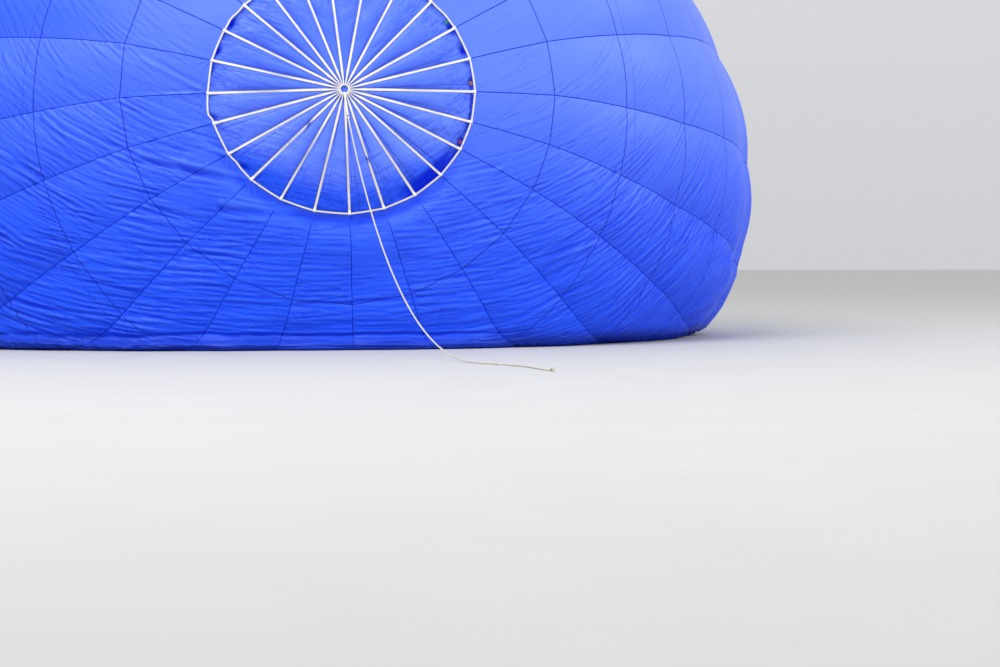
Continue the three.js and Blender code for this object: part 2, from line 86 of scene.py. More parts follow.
# ------------------------------------------------------------------ helpers
def link(name, verts, faces, body, mat=None, smooth=True, mats=None, face_mats=None):
    me = bpy.data.meshes.new(name)
    verts = np.asarray(verts, dtype=np.float64)
    if isinstance(faces, np.ndarray) and faces.ndim == 2:
        n, k = faces.shape
        me.vertices.add(len(verts)); me.vertices.foreach_set("co", verts.astype(np.float32).ravel())
        me.loops.add(n * k); me.loops.foreach_set("vertex_index", faces.astype(np.int32).ravel())
        me.polygons.add(n); me.polygons.foreach_set("loop_start", np.arange(0, n * k, k, dtype=np.int32))
        me.update(calc_edges=True)
    else:
        me.from_pydata([tuple(v) for v in verts], [], [tuple(int(i) for i in f) for f in faces])
    me.polygons.foreach_set("use_smooth", np.full(len(me.polygons), smooth))
    for m in (mats or ([mat] if mat else [])):
        me.materials.append(m)
    if face_mats is not None:
        me.polygons.foreach_set("material_index", np.asarray(face_mats, dtype=np.int32))
    me.update()
    ob = bpy.data.objects.new(name, me)
    scene.collection.objects.link(ob)
    if body:
        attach(ob, body)
    return ob

def grid_faces(rows, cols, wrap=False, offset=0):
    i = np.arange(rows - 1)[:, None]; j = np.arange(cols if wrap else cols - 1)[None, :]
    a = i * cols + j; b = i * cols + (j + 1) % cols
    return (np.stack([a, b, b + cols, a + cols], -1).reshape(-1, 4) + offset)

def set_uv(ob, name, uv):
    """uv: one pair for each vertex"""
    me = ob.data
    layer = me.uv_layers.new(name=name)
    idx = np.empty(len(me.loops), dtype=np.int32)
    me.loops.foreach_get("vertex_index", idx)
    layer.data.foreach_set("uv", np.asarray(uv, dtype=np.float32)[idx].ravel())

class Parts:
    """collects pieces of one object; each has its own material index"""
    def __init__(self):
        self.v, self.f, self.m, self.uv, self.n = [], [], [], [], 0

    def add(self, verts, faces, mat=0, uv=None):
        verts = np.asarray(verts, float).reshape(-1, 3)
        uv = np.zeros((len(verts), 2)) if uv is None else np.asarray(uv, float).reshape(-1, 2)
        self.v.append(verts); self.uv.append(uv)
        for f in faces:
            self.f.append(tuple(int(i) + self.n for i in f)); self.m.append(mat)
        self.n += len(verts)
        return self

    def make(self, name, body, mats, sharp=40):
        ob = link(name, np.concatenate(self.v), self.f, body, mats=mats, face_mats=self.m)
        ob.data.set_sharp_from_angle(angle=math.radians(sharp))
        set_uv(ob, "cut", np.concatenate(self.uv))
        return ob

def unit(v):
    v = np.asarray(v, float)
    return v / np.maximum(np.linalg.norm(v, axis=-1, keepdims=True), 1e-12)

def frames(path, closed=False, up=None):
    """tangent and two normals at each point of a path, without twist"""
    p = np.asarray(path, float)
    if closed:
        t = unit(np.roll(p, -1, 0) - np.roll(p, 1, 0))
    else:
        t = unit(np.gradient(p, axis=0))
    n = np.zeros_like(p)
    ref = np.array(up, float) if up is not None else (np.array([0, 0, 1.0]) if abs(t[0][2]) < 0.9 else np.array([1.0, 0, 0]))
    n[0] = unit(ref - t[0] * np.dot(ref, t[0]))
    for i in range(1, len(p)):
        if up is not None:
            w = ref
        else:
            w = n[i - 1]
        n[i] = unit(w - t[i] * np.dot(w, t[i]))
    return t, n, np.cross(t, n)

def sweep(path, section, closed=False, up=None, cap=True, twist=None, scale=None):
    """section: (n, 2) points, or (rows, n, 2); gives verts, faces and uv = around, along"""
    p = np.asarray(path, float)
    t, n, b = frames(p, closed, up)
    sec = np.asarray(section, float)
    if sec.ndim == 2:
        sec = np.broadcast_to(sec, (len(p),) + sec.shape).copy()
    if scale is not None:
        sec = sec * np.asarray(scale, float).reshape(-1, 1, 1)
    if twist is not None:
        c, s = np.cos(twist)[:, None], np.sin(twist)[:, None]
        sec = np.stack([sec[..., 0] * c - sec[..., 1] * s, sec[..., 0] * s + sec[..., 1] * c], -1)
    m = sec.shape[1]
    v = p[:, None, :] + sec[..., :1] * n[:, None, :] + sec[..., 1:] * b[:, None, :]
    rows = len(p)
    length = np.concatenate([[0], np.cumsum(np.linalg.norm(np.diff(p, axis=0), axis=1))])
    edge = np.concatenate([[0], np.cumsum(np.linalg.norm(np.diff(sec[0], axis=0), axis=1))])
    uv = np.stack(np.broadcast_arrays(edge[None, :], length[:, None]), -1)
    f = [tuple(x) for x in grid_faces(rows, m, wrap=True)[:, ::-1]]
    if closed:
        a = (rows - 1) * m
        f += [(a + j, j, (j + 1) % m, a + (j + 1) % m) for j in range(m)]
        f = [tuple(q) for q in f]
    elif cap:
        f.append(tuple(range(m))); f.append(tuple(reversed(range((rows - 1) * m, rows * m))))
    return v.reshape(-1, 3), f, uv.reshape(-1, 2)

def circle(r, n=12, squash=1.0, start=0.0):
    a = np.linspace(0, 2 * np.pi, n, endpoint=False) + start
    return np.stack([r * np.cos(a), r * squash * np.sin(a)], -1)

def rounded(w, h, r, n=3):
    """outline of a rectangle with round corners"""
    r = min(r, w / 2 - 1e-5, h / 2 - 1e-5)
    out = []
    for cx, cy, a0 in ((w / 2 - r, h / 2 - r, 0), (-w / 2 + r, h / 2 - r, 90), (-w / 2 + r, -h / 2 + r, 180), (w / 2 - r, -h / 2 + r, 270)):
        for i in range(n + 1):
            a = math.radians(a0 + 90 * i / n)
            out.append((cx + r * math.cos(a), cy + r * math.sin(a)))
    return np.array(out)

def lathe(profile, base, axis, n=32, start=0.0):
    """profile: [radius, height] from base along axis"""
    prof = np.asarray(profile, float); axis = unit(axis)
    ref = np.array([0, 0, 1.0]) if abs(axis[2]) < 0.9 else np.array([1.0, 0, 0])
    x = unit(np.cross(axis, ref)); y = np.cross(axis, x)
    a = np.linspace(0, 2 * np.pi, n, endpoint=False) + start
    ring = np.cos(a)[:, None] * x + np.sin(a)[:, None] * y
    v = np.asarray(base, float) + prof[:, None, 1:2] * axis + np.maximum(prof[:, None, 0:1], 1e-5) * ring[None]
    f = [tuple(q) for q in grid_faces(len(prof), n, wrap=True)]
    length = np.concatenate([[0], np.cumsum(np.linalg.norm(np.diff(prof, axis=0), axis=1))])
    uv = np.stack(np.broadcast_arrays((a * max(prof[:, 0].max(), 1e-3))[None, :], length[:, None]), -1)
    return v.reshape(-1, 3), f, uv.reshape(-1, 2)

def block(centre, size, bevel=0.004, axes=None, segs=2):
    """box with rounded edges"""
    bm = bmesh.new()
    bmesh.ops.create_cube(bm, size=1.0)
    for v in bm.verts:
        v.co = Vector([v.co[i] * size[i] for i in range(3)])
    bmesh.ops.bevel(bm, geom=bm.edges[:], offset=bevel, segments=segs, profile=0.5, affect="EDGES")
    bm.verts.ensure_lookup_table()
    v = np.array([tuple(x.co) for x in bm.verts]); f = [tuple(x.index for x in q.verts) for q in bm.faces]
    bm.free()
    if axes is not None:
        v = v @ np.asarray(axes, float)
    uv = v[:, :2] * 1.0
    return v + np.asarray(centre, float), f, uv

def torus(centre, axis, R, r, n=32, m=10, arc=None):
    axis = unit(axis)
    ref = np.array([0, 0, 1.0]) if abs(axis[2]) < 0.9 else np.array([1.0, 0, 0])
    x = unit(np.cross(axis, ref)); y = np.cross(axis, x)
    a = np.linspace(0, 2 * np.pi, n, endpoint=False) if arc is None else np.linspace(arc[0], arc[1], n)
    path = np.asarray(centre, float) + R * (np.cos(a)[:, None] * x + np.sin(a)[:, None] * y)
    return sweep(path, circle(r, m), closed=arc is None, up=axis)

def spline(points, n):
    """smooth line through points, evenly spaced"""
    p = np.asarray(points, float)
    d = np.concatenate([[0], np.cumsum(np.linalg.norm(np.diff(p, axis=0), axis=1) ** 0.5)])
    ext = np.vstack([2 * p[0] - p[1], p, 2 * p[-1] - p[-2]])
    dk = np.concatenate([[-d[1]], d, [2 * d[-1] - d[-2]]])
    out = []
    per = max(8, int(6 * n / len(p)))
    for i in range(1, len(ext) - 2):
        t0, t1, t2, t3 = dk[i - 1:i + 3]
        t = np.linspace(t1, t2, per, endpoint=False)[:, None]
        a1 = (t1 - t) / (t1 - t0) * ext[i - 1] + (t - t0) / (t1 - t0) * ext[i]
        a2 = (t2 - t) / (t2 - t1) * ext[i] + (t - t1) / (t2 - t1) * ext[i + 1]
        a3 = (t3 - t) / (t3 - t2) * ext[i + 1] + (t - t2) / (t3 - t2) * ext[i + 2]
        b1 = (t2 - t) / (t2 - t0) * a1 + (t - t0) / (t2 - t0) * a2
        b2 = (t3 - t) / (t3 - t1) * a2 + (t - t1) / (t3 - t1) * a3
        out.append((t2 - t) / (t2 - t1) * b1 + (t - t1) / (t2 - t1) * b2)
    out = np.vstack(out + [p[-1:]])
    l = np.concatenate([[0], np.cumsum(np.linalg.norm(np.diff(out, axis=0), axis=1))])
    q = np.linspace(0, l[-1], n)
    return np.stack([np.interp(q, l, out[:, i]) for i in range(3)], -1)

def smooth01(x, a, b):
    t = np.clip((x - a) / (b - a), 0, 1)
    return t * t * (3 - 2 * t)

_ANG = np.linspace(0, 2 * np.pi, 256, endpoint=False)
_GX, _GY = np.cos(_ANG), np.sin(_ANG)
def _perm(seed):
    return np.random.default_rng(1000 + seed).permutation(1024)
_perms = {}
def noise(x, y, seed=0):
    """smooth gradient noise, about -0.7 to 0.7"""
    if seed not in _perms:
        _perms[seed] = _perm(seed)
    p = _perms[seed]
    x, y = np.broadcast_arrays(np.asarray(x, float), np.asarray(y, float))
    xi, yi = np.floor(x).astype(np.int64), np.floor(y).astype(np.int64)
    xf, yf = x - xi, y - yi
    u, v = xf * xf * xf * (xf * (xf * 6 - 15) + 10), yf * yf * yf * (yf * (yf * 6 - 15) + 10)
    def g(ix, iy, fx, fy):
        h = p[(p[ix & 1023] + iy) & 1023] & 255
        return _GX[h] * fx + _GY[h] * fy
    n00, n10 = g(xi, yi, xf, yf), g(xi + 1, yi, xf - 1, yf)
    n01, n11 = g(xi, yi + 1, xf, yf - 1), g(xi + 1, yi + 1, xf - 1, yf - 1)
    a, b = n00 + u * (n10 - n00), n01 + u * (n11 - n01)
    return a + v * (b - a)

def ridge(n):
    return 1 - 2 * np.abs(n) / 0.45

# ------------------------------------------------------------------ the envelope's surface
_st = 0.005
_s = np.arange(0, 25.3 + _st, _st)
_sl = np.radians(np.interp(_s, MERIDIAN[:, 0], MERIDIAN[:, 1]))
_mid = (_sl[1:] + _sl[:-1]) / 2
_r = np.concatenate([[0], np.cumsum(np.cos(_mid) * _st)])
_b = np.concatenate([[0], np.cumsum(np.sin(_mid) * _st)])

def on_ground(z):
    d = GROUND_SOFT
    return np.where(z < -d, 0.0, np.where(z > d, z, (z + d) ** 2 / (4 * d)))

# where the vent's rim leaves its even line: [angle, width before it, width after it, how far out in metres]
RIM_KINKS = np.array([[190.3, 7.0, 2.0, 0.055], [214.0, 2.2, 2.2, -0.014], [148.0, 3.0, 3.0, 0.022], [37.0, 3.0, 3.0, 0.012]])

def kinked(s, a):
    d = np.degrees(a) % 360
    out = 0.0
    for (a0, before, after, far) in RIM_KINKS:
        da = (d - a0 + 180) % 360 - 180
        out = out + far * np.exp(-(da / np.where(da < 0, before, after)) ** 2)
    return out * np.exp(-((s - RIM_AT) / 0.30) ** 2)

def surface(s, a, out=0.0, pull=1.0):
    """points of the skin at distance s along the gore line and angle a, moved out by out; before it meets the ground"""
    s, a, out, pull = np.broadcast_arrays(s, a, out, pull)
    sl, r, b = np.interp(s, _s, _sl), np.interp(s, _s, _r), np.interp(s, _s, _b)
    h = np.interp(b, AXIS_HEIGHT[:, 0], AXIS_HEIGHT[:, 1])
    q = VENT_SQUASH + (1 - VENT_SQUASH) * np.clip((s - 1.5) / 3, 0, 1)
    c, t = np.cos(a), np.sin(a)
    up = np.degrees(np.arcsin(np.clip(t, -1, 1)))
    sag = 1 - smooth01(s, 4.5, 9) * (TOP_FLAT * smooth01(up, -4, 36) + FOOT_TUCK * smooth01(-up, 22, 42) * (1 - smooth01(-up, 68, 88)))
    e = q / np.hypot(q * c, t) * pull * sag
    wide = r * e + kinked(s, a)
    x = wide * c + out * np.sin(sl) * c
    y = CROWN_Y + b - out * np.cos(sl)
    z = h + wide * t + out * np.sin(sl) * t
    return np.stack([x, y, z], -1)

def grounded(p, low=0.0, s=None, a=None):
    """lays what would be below the ground on it, where the spare width of cloth stands up in long folds"""
    q = p.copy()
    z = p[..., 2]
    q[..., 2] = np.maximum(on_ground(z), low)
    if s is not None:
        across = np.interp(s, _s, _r) * a
        spare = 1 - np.abs(np.sin(a))
        laid = smooth01(-z, -0.1, 0.5) * smooth01(s, 3.5, 6.0) * np.clip(0.25 + 1.4 * spare, 0, 1)
        wave = 0.5 + 0.5 * np.cos(across * 2 * np.pi / 0.44 + 3.0 * noise(across / 1.7, s / 2.4, 15))
        q[..., 2] += laid * (0.14 + 0.05 * noise(across / 1.1, s / 1.5, 16)) * wave
    return q

def section_of(a):
    """seam index below angle a and fraction across that gore"""
    a = (np.asarray(a) - SEAM[0]) % (2 * np.pi) + SEAM[0]
    k = np.clip(np.searchsorted(SEAM_W, a, side="right") - 1, 0, GORES - 1)
    return k, (a - SEAM_W[k]) / (SEAM_W[k + 1] - SEAM_W[k])

def slack_where(a):
    """0 at the taut crown top, 1 over the slack lower half"""
    d = np.degrees(a) % 360
    low = smooth01(d, 125, 185) * (1 - smooth01(d, 345, 375)) + (d < 15) * (1 - smooth01(d + 360, 345, 375))
    return np.clip(low, 0, 1)

def lie(p):
    """wrinkle coordinates: along, across; the wrinkles sag like smiles between the two sides"""
    X, Z = p[..., 0], p[..., 2]
    h = np.clip(0.55 + 0.19 * Z, 0.5, 1.9)
    side = np.where(X < 0, 0.62, 1.0)
    across = np.log(h) / 0.19 - side * (0.0425 * X ** 2 + 0.000875 * np.clip(X, -6.5, 6.5) ** 4)
    return X, across

def slope_at(x, z):
    """how steeply the wrinkles run there, as a tangent"""
    g = 0.085 * x + 0.0035 * np.clip(x, -6.5, 6.5) ** 3
    left = 0.32 + 0.85 * smooth01(z, 1.6, 3.6) + 1.1 * smooth01(z, 3.8, 5.2)
    right = 0.85 + 0.3 * smooth01(z, 1.2, 3.0) + 0.9 * smooth01(z, 3.5, 5.0)
    return g * np.where(x < 0, left, right)

# long folds seen in the skin, in metres in the X-Z plane: [from x, from z, to x, to z, width, depth]
FOLDS = [
    [-4.75, 3.75, -4.10, 3.24, 0.035, 0.026],
    [-2.18, 4.13, -3.44, 4.77, 0.040, 0.030],
    [-2.18, 4.10, -3.47, 4.07, 0.030, 0.016],
    [-3.34, 3.15, -1.45, 2.78, 0.055, 0.034],
    [-1.82, 3.14, -2.40, 3.34, 0.040, 0.030],
    [-5.33, 4.75, -5.18, 4.40, 0.030, 0.016],
    [-4.65, 2.65, -3.80, 2.19, 0.038, 0.026],
    [-5.60, 1.98, -4.45, 1.65, 0.034, 0.020],
    [-3.00, 2.36, -2.10, 2.13, 0.032, 0.018],
    [-3.59, 1.99, -2.45, 1.70, 0.032, 0.014],
    [-4.07, 1.53, -3.05, 1.31, 0.036, 0.018],
    [-3.23, 0.68, -2.20, 0.58, 0.034, 0.014],
    [-3.76, 2.74, -3.10, 2.45, 0.030, 0.014],
    [-2.60, 3.02, -1.30, 2.71, 0.060, 0.034],
    [-2.05, 2.38, -0.30, 2.23, 0.065, 0.036],
    [-0.02, 1.00, -0.85, 0.93, 0.032, -0.016],
    [0.05, 0.82, 1.10, 0.95, 0.036, 0.018],
    [4.40, 1.79, 3.25, 1.39, 0.040, 0.030],
    [3.18, 2.55, 2.25, 2.40, 0.036, 0.022],
    [4.78, 2.96, 4.05, 2.33, 0.036, 0.024],
    [2.65, 2.96, 1.65, 2.80, 0.036, 0.016],
    [2.62, 1.84, 1.75, 1.64, 0.036, 0.016],
    [-5.50, 3.24, -4.98, 2.87, 0.034, 0.022],
    [-4.95, 2.82, -4.25, 2.32, 0.030, 0.016],
    [-5.40, 1.22, -4.40, 1.00, 0.034, 0.016],
]

def streak(X, Z, x0, z0, dx, dz, length, width, depth, rise=0.12, grow=0.0, curve=0.0, lens=False):
    """a straight fold from a point: a ridge with a groove beside it, tapering away"""
    al = (X - x0) * dx + (Z - z0) * dz
    ac = -(X - x0) * dz + (Z - z0) * dx
    t = al / length
    ac = ac - curve * al * al
    w = width * (1 + grow * np.clip(t, 0, 1))
    q = ac / w
    if lens:
        env = np.sin(np.pi * np.clip(t, 0, 1)) ** 1.3
    else:
        env = smooth01(t, 0, rise) * (1 - np.clip(t, 0, 1)) ** 0.9
    return depth * env * (np.exp(-0.5 * q * q) - 0.75 * np.exp(-0.5 * (q + 1.9) ** 2))

def broad(s, a, p):
    """slow movements of the skin that run on over the seams, in metres outwards"""
    d = np.degrees(a) % 360
    low = slack_where(a)
    X, W = lie(p)
    Z = p[..., 2]
    # the rim rolls over in the lower half: a groove close below the tape, then a soft roll
    under = smooth01(d, 180, 235) * (1 - smooth01(d, 300, 345))
    t = s - RIM_AT
    wob = 0.05 * noise(6 * np.cos(a) + 20, 6 * np.sin(a) + s * 0.7, 3)
    out = under * (-0.05 * np.exp(-((t - 0.14 - wob) / 0.12) ** 2) + 0.055 * np.exp(-((t - 0.5 - wob) / 0.28) ** 2))
    # wide sag of the slack lower half, in lines along the wrinkles
    away = smooth01(t, 0.4, 1.6)
    out += low * away * (0.030 * noise(X / 2.2, W / 0.6, 11) + 0.016 * noise(X / 1.3, W / 0.3, 12))
    out += away * 0.05 * noise(s / 2.3 + 2 * np.cos(a), 2 * np.sin(a) + 9, 13)
    for (x0, z0, x1, z1, w, depth) in FOLDS:
        L = math.hypot(x1 - x0, z1 - z0)
        near = (np.abs(X - (x0 + x1) / 2) < L / 2 + 0.4) & (np.abs(Z - (z0 + z1) / 2) < L / 2 + 0.4) & (s < 9)
        if near.any():
            out[near] += streak(X[near], Z[near], x0, z0, (x1 - x0) / L, (z1 - z0) / L, L, w * 0.8, depth * 1.15, rise=0.08)
    # the shoulder: the skin behind stands out a little past the front's edge
    facing = smooth01(np.cos(a), 0.2, 0.6) + smooth01(-np.cos(a), 0.2, 0.6)
    sh = s + 0.25 * noise(2.2 * np.cos(a) + 9, 2.2 * np.sin(a), 17)
    out += facing * (0.15 * smooth01(sh, 10.05, 10.75) - 0.09 * smooth01(sh, 8.2, 10.05)) * (1 - smooth01(s, 13, 17))
    # at the sides the skin curves back under itself close to the ground
    zg = on_ground(Z)
    out -= smooth01(np.cos(a), 0.15, 0.5) * 0.26 * (1 - smooth01(zg, 0.0, 1.3)) * smooth01(s, 5.5, 7.5)
    # where the skin meets the ground: a crease, and below it cloth that lies out in long flat folds
    z = on_ground(Z)
    flap = (1 - smooth01(X, 1.6, 3.4)) * smooth01(X, -9, -7.5) * (1 - smooth01(s, 7.5, 10))
    zz = z + 0.060 * noise(X / 1.3, 2.5, 14) + 0.020 * noise(X / 0.35, 4.5, 18)
    lying = 1 - smooth01(zz, 0.08, 0.25)
    out += flap * (0.17 * lying - 0.042 * np.exp(-((zz - 0.265) / 0.024) ** 2))
    out += flap * 0.020 * (ridge(noise(X / 1.6, zz / 0.07, 19)) + 0.5) * np.exp(-((zz - 0.13) / 0.08) ** 2)
    return out

WRINKLE = 0.82                   # how strong the small wrinkles are
# [height in metres, strength there]: slack and creased near the ground, taut above
CREASED = np.array([[0.3, 2.3], [2.0, 2.1], [3.2, 1.55], [4.4, 0.95], [6.0, 0.55]])

def creased(x, z):
    """strength of the wrinkles at a place seen from the front"""
    g = np.interp(z, CREASED[:, 0], CREASED[:, 1])
    calm = smooth01(x, 1.5, 3.2) * smooth01(z, 1.9, 3.1)
    middle = smooth01(x, -2.3, -0.9) * (1 - smooth01(x, 2.4, 3.6)) * (1 - smooth01(z, 2.6, 3.4))
    edge = smooth01(-x, 4.3, 5.0) * (1 - smooth01(z, 2.3, 2.9))
    return g * (1 - 0.60 * calm) * (1 - 0.42 * middle) * (1 + 0.75 * edge)

def streaks_of(k):
    """the wrinkles of one gore, seeded: where each starts, which way it runs, its size"""
    rng = np.random.default_rng(500 + k)
    mid = (SEAM_W[k] + SEAM_W[k + 1]) / 2
    deg = math.degrees(mid) % 360
    top = 25 < deg < 150
    out = []
    def add(pt, ang, L, w, A, **kw):
        out.append((pt[0], pt[2], math.cos(ang), math.sin(ang), L, w, A, kw))
    lefty = 1 if deg > 90 and deg < 270 else 0
    for side in (0, 1):
        ang = SEAM_W[k + side]
        # bundles that start at the gore seam and die out inside the gore
        s = 2.45
        while s < 10.0 and not top:
            ring = ((s - RIM_AT) / PANEL) % 1.0
            ring = min(ring, 1 - ring) * PANEL
            busy = float(smooth01(noise(s * 0.55, k * 3.7 + side * 1.9, 31), -0.15, 0.2))
            s += 0.088 * rng.uniform(0.6, 1.45) / (0.5 + 0.7 * math.exp(-(ring / 0.35) ** 2) + 0.5 * busy)
            pt, c = surface(s, ang, 0.1), surface(s, mid, 0.15)
            m = float(slope_at(pt[0], pt[2]))
            fa = math.atan(m) + rng.normal(0, 0.05)
            if (c[0] - pt[0]) * math.cos(fa) + (c[2] - pt[2]) * math.sin(fa) < 0:
                fa += math.pi
            inward = unit(np.array([c[0] - pt[0], c[2] - pt[2]]))
            cross = abs(inward[0] * math.cos(fa) + inward[1] * math.sin(fa))
            if cross < 0.2:
                continue
            strong = math.exp(-(ring / 0.30) ** 2) * 0.75 + 0.55 * busy
            A = WRINKLE * (0.0030 + 0.0105 * strong * rng.uniform(0.15, 1.0) ** 1.3) * rng.choice((-1, 1), p=(0.25, 0.75))
            L = rng.uniform(0.5, 1.2) + 0.8 * strong * rng.uniform(0, 1)
            add(pt, fa, L, rng.uniform(0.013, 0.021), A * float(creased(pt[0], pt[2])), rise=0.06, grow=0.5, curve=rng.normal(0, 0.02))
        # the fan of creases out of the tape's end at the rim
        J = surface(RIM_AT + 0.005, ang)
        er = surface(RIM_AT + 0.6, ang) - J; er = unit(np.array([er[0], er[2]]))
        far = surface(RIM_AT + 0.6, mid); to = np.array([far[0] - J[0], far[2] - J[2]])
        sgn = 1 if er[0] * to[1] - er[1] * to[0] > 0 else -1
        sd = math.degrees(ang) % 360
        bottom = 238 < sd < 310
        reach = 0.20 if bottom else (1.1 if 130 < sd < 238 else 0.5)
        n = 0 if bottom else 5
        for i in range(n):
            al = sgn * 1.3 * (i + rng.uniform(-0.2, 1.2)) / n
            fa = math.atan2(er[1], er[0]) + al
            L = reach * rng.uniform(0.5, 1.25) * (1.2 - 0.55 * i / n)
            add(J, fa, L, 0.010, (0.0015 + 0.006 * rng.random() ** 2) * float(smooth01(abs(sd - 180), 20, 5) * 0.5 + 0.6), rise=0.16, grow=1.6, curve=rng.normal(0, 0.05))
    # loose wrinkles inside the gore
    for i in range(0 if top else 110):
        s, u = 2.6 + 7.2 * rng.random(), rng.uniform(0.06, 0.94)
        pt = surface(s, SEAM_W[k] + (SEAM_W[k + 1] - SEAM_W[k]) * u, 0.15)
        if noise(pt[0] * 0.8 + 9, pt[2] * 1.1 + k, 33) < -0.12:
            continue
        fa = math.atan(float(slope_at(pt[0], pt[2]))) + rng.normal(0, 0.06)
        L = rng.uniform(0.35, 1.1)
        pt = pt - 0.5 * L * np.array([math.cos(fa), 0, math.sin(fa)])
        add(pt, fa, L, rng.uniform(0.012, 0.022), WRINKLE * float(creased(pt[0], pt[2])) * rng.uniform(0.0025, 0.0075), lens=True)
    # short puckers across the panel seams
    for j, sr in enumerate((RIM_AT + PANEL, RIM_AT + 2 * PANEL, RIM_AT + 2 * PANEL + 0.18, RIM_AT + 3 * PANEL, RIM_AT + 4 * PANEL, RIM_AT + 5 * PANEL)):
        width = float(np.interp(sr, _s, _r)) * (SEAM_W[k + 1] - SEAM_W[k])
        n = int(width / 0.055)
        for i in range(n):
            u = (i + rng.uniform(0.2, 0.8)) / n
            ang = SEAM_W[k] + (SEAM_W[k + 1] - SEAM_W[k]) * u
            pt, p2 = surface(sr, ang, 0.15), surface(sr, ang + 0.01, 0.15)
            ringdir = math.atan2(p2[2] - pt[2], p2[0] - pt[0])
            fa = math.atan(float(slope_at(pt[0], pt[2])))
            if top:
                fa = ringdir + math.pi / 2 + 0.5 * (1 if pt[0] > 0 else -1)
            cr = abs(math.sin(fa - ringdir))
            if cr < 0.3:
                continue
            patch = float(smooth01(noise(u * width * 1.3 + 5 * j, k * 2.2, 37), -0.2, 0.25))
            L = rng.uniform(0.16, 0.55) * (0.5 if top else 1.0)
            fa += rng.normal(0, 0.10)
            c = pt - (0.5 * L + rng.normal(0, 0.04)) * np.array([math.cos(fa), 0, math.sin(fa)])
            add(c, fa, L, rng.uniform(0.010, 0.015), WRINKLE * (0.0015 + 0.0055 * patch * rng.uniform(0.3, 1)) * (0.4 if top else float(creased(pt[0], pt[2]))), lens=True)
    return out

def fine(k, s, u, a, p, width):
    """wrinkles of one gore, zero at its seams, in metres outwards"""
    d = np.degrees(a) % 360
    low = slack_where(a)
    X, W = lie(p)
    Z = p[..., 2]
    t = s - RIM_AT
    d0, d1 = u * width, (1 - u) * width
    edge = smooth01(np.minimum(d0, d1), 0.0, 0.03)
    W = W + 0.37 * k
    w1 = noise(X / 0.7 + k * 3.1, W / 0.075, 40 + k)
    w3 = noise(X / 0.4 + k * 1.3, W / 0.045, 120 + k)
    patch = smooth01(noise(X / 0.9 + 7 * k, W / 0.45, 160 + k), -0.1, 0.35)
    reach = smooth01(s, 2.5, 3.3) * (1 - 0.8 * smooth01(s, 8.5, 11))
    out = low * reach * (0.3 + 0.9 * patch) * creased(X, Z) * WRINKLE * (0.0036 * ridge(w1) + 0.0015 * ridge(w3))
    for (x0, z0, dx, dz, L, w, A, kw) in streaks_of(k):
        near = (np.abs(X - x0 - dx * L / 2) < np.abs(dx) * L / 2 + 0.1) & (np.abs(Z - z0 - dz * L / 2) < np.abs(dz) * L / 2 + 0.1) & (s < 10.6)
        if near.any():
            out[near] += streak(X[near], Z[near], x0, z0, dx, dz, L, w, A, **kw)
    # puckers along the gore seams
    seamp = np.exp(-np.minimum(d0, d1) / 0.08)
    out += seamp * 0.004 * noise(s / 0.06, u * 3, 240 + k) * smooth01(t, 0.3, 1.0) * (1 - smooth01(s, 9, 12))
    return out * edge

def place(s, a, extra=0.0, k=None, u=None, detail=True, low=0.0, relief=False, till=99.0):
    """the finished skin; k and u are the gore and the fraction across it"""
    s, a = np.asarray(s, float), np.asarray(a, float)
    if k is None:
        k, u = section_of(a)
    ends = smooth01(s, RIM_AT, RIM_AT + 4) * smooth01(MOUTH_AT - s, 0, 4)
    arch = 4 * u * (1 - u)
    pull = 1 - 0.0050 * arch * (1 - smooth01(s, 2.6, 4.2))
    bulge = ends * (SEAM_LIFT + BULGE_SEEN * arch)
    base = surface(s, a, bulge, pull)
    out = bulge + broad(s, a, base)
    if detail:
        width = np.maximum(np.interp(s, _s, _r), 0.3) * (SEAM_W[k + 1] - SEAM_W[k])
        out = out + fine(int(np.ravel(k)[0]), s, u, a, base, width) * (1 - 0.85 * smooth01(s, till - 0.25, till + 0.05))
    p = surface(s, a, out + extra, pull)
    return (grounded(p, low, s, a), out) if relief else grounded(p, low, s, a)

def hollows(D, step):
    """1 in the bottom of a crease, -1 on the crest of a fold, 0 elsewhere; D is the relief of the skin, its rows a step apart"""
    E = np.pad(D, ((2, 2), (0, 0)), mode="edge")
    near, wide = (E[1:-3] + E[3:-1]) / 2 - D, (E[:-4] + E[4:]) / 2 - D
    h = (0.5 * near + 0.5 * wide) / 0.0036
    return np.clip(np.sign(h) * np.maximum(np.abs(h) - 0.08, 0), -1, 1) if step < 0.03 else np.zeros_like(D)

# ------------------------------------------------------------------ materials
def nodes_of(name, **values):
    m = bpy.data.materials.new(name)
    m.use_nodes = True
    nt = m.node_tree
    bsdf = nt.nodes["Principled BSDF"]
    for k, v in values.items():
        bsdf.inputs[k.replace("_", " ")].default_value = v
    return m, nt, bsdf

def node(nt, kind, **inputs):
    n = nt.nodes.new(kind)
    props = inputs.pop("props", {})
    for k, v in props.items():
        setattr(n, k, v)
    for k, v in inputs.items():
        key = int(k[1:]) if k[0] == "i" and k[1:].isdigit() else k.replace("_", " ")
        if isinstance(v, bpy.types.NodeSocket):
            nt.links.new(v, n.inputs[key])
        else:
            n.inputs[key].default_value = v
    return n

def math_node(nt, op, a, b=None, clamp=False):
    n = nt.nodes.new("ShaderNodeMath"); n.operation = op; n.use_clamp = clamp
    for i, v in enumerate((a, b)):
        if v is None:
            continue
        if isinstance(v, bpy.types.NodeSocket):
            nt.links.new(v, n.inputs[i])
        else:
            n.inputs[i].default_value = v
    return n.outputs[0]

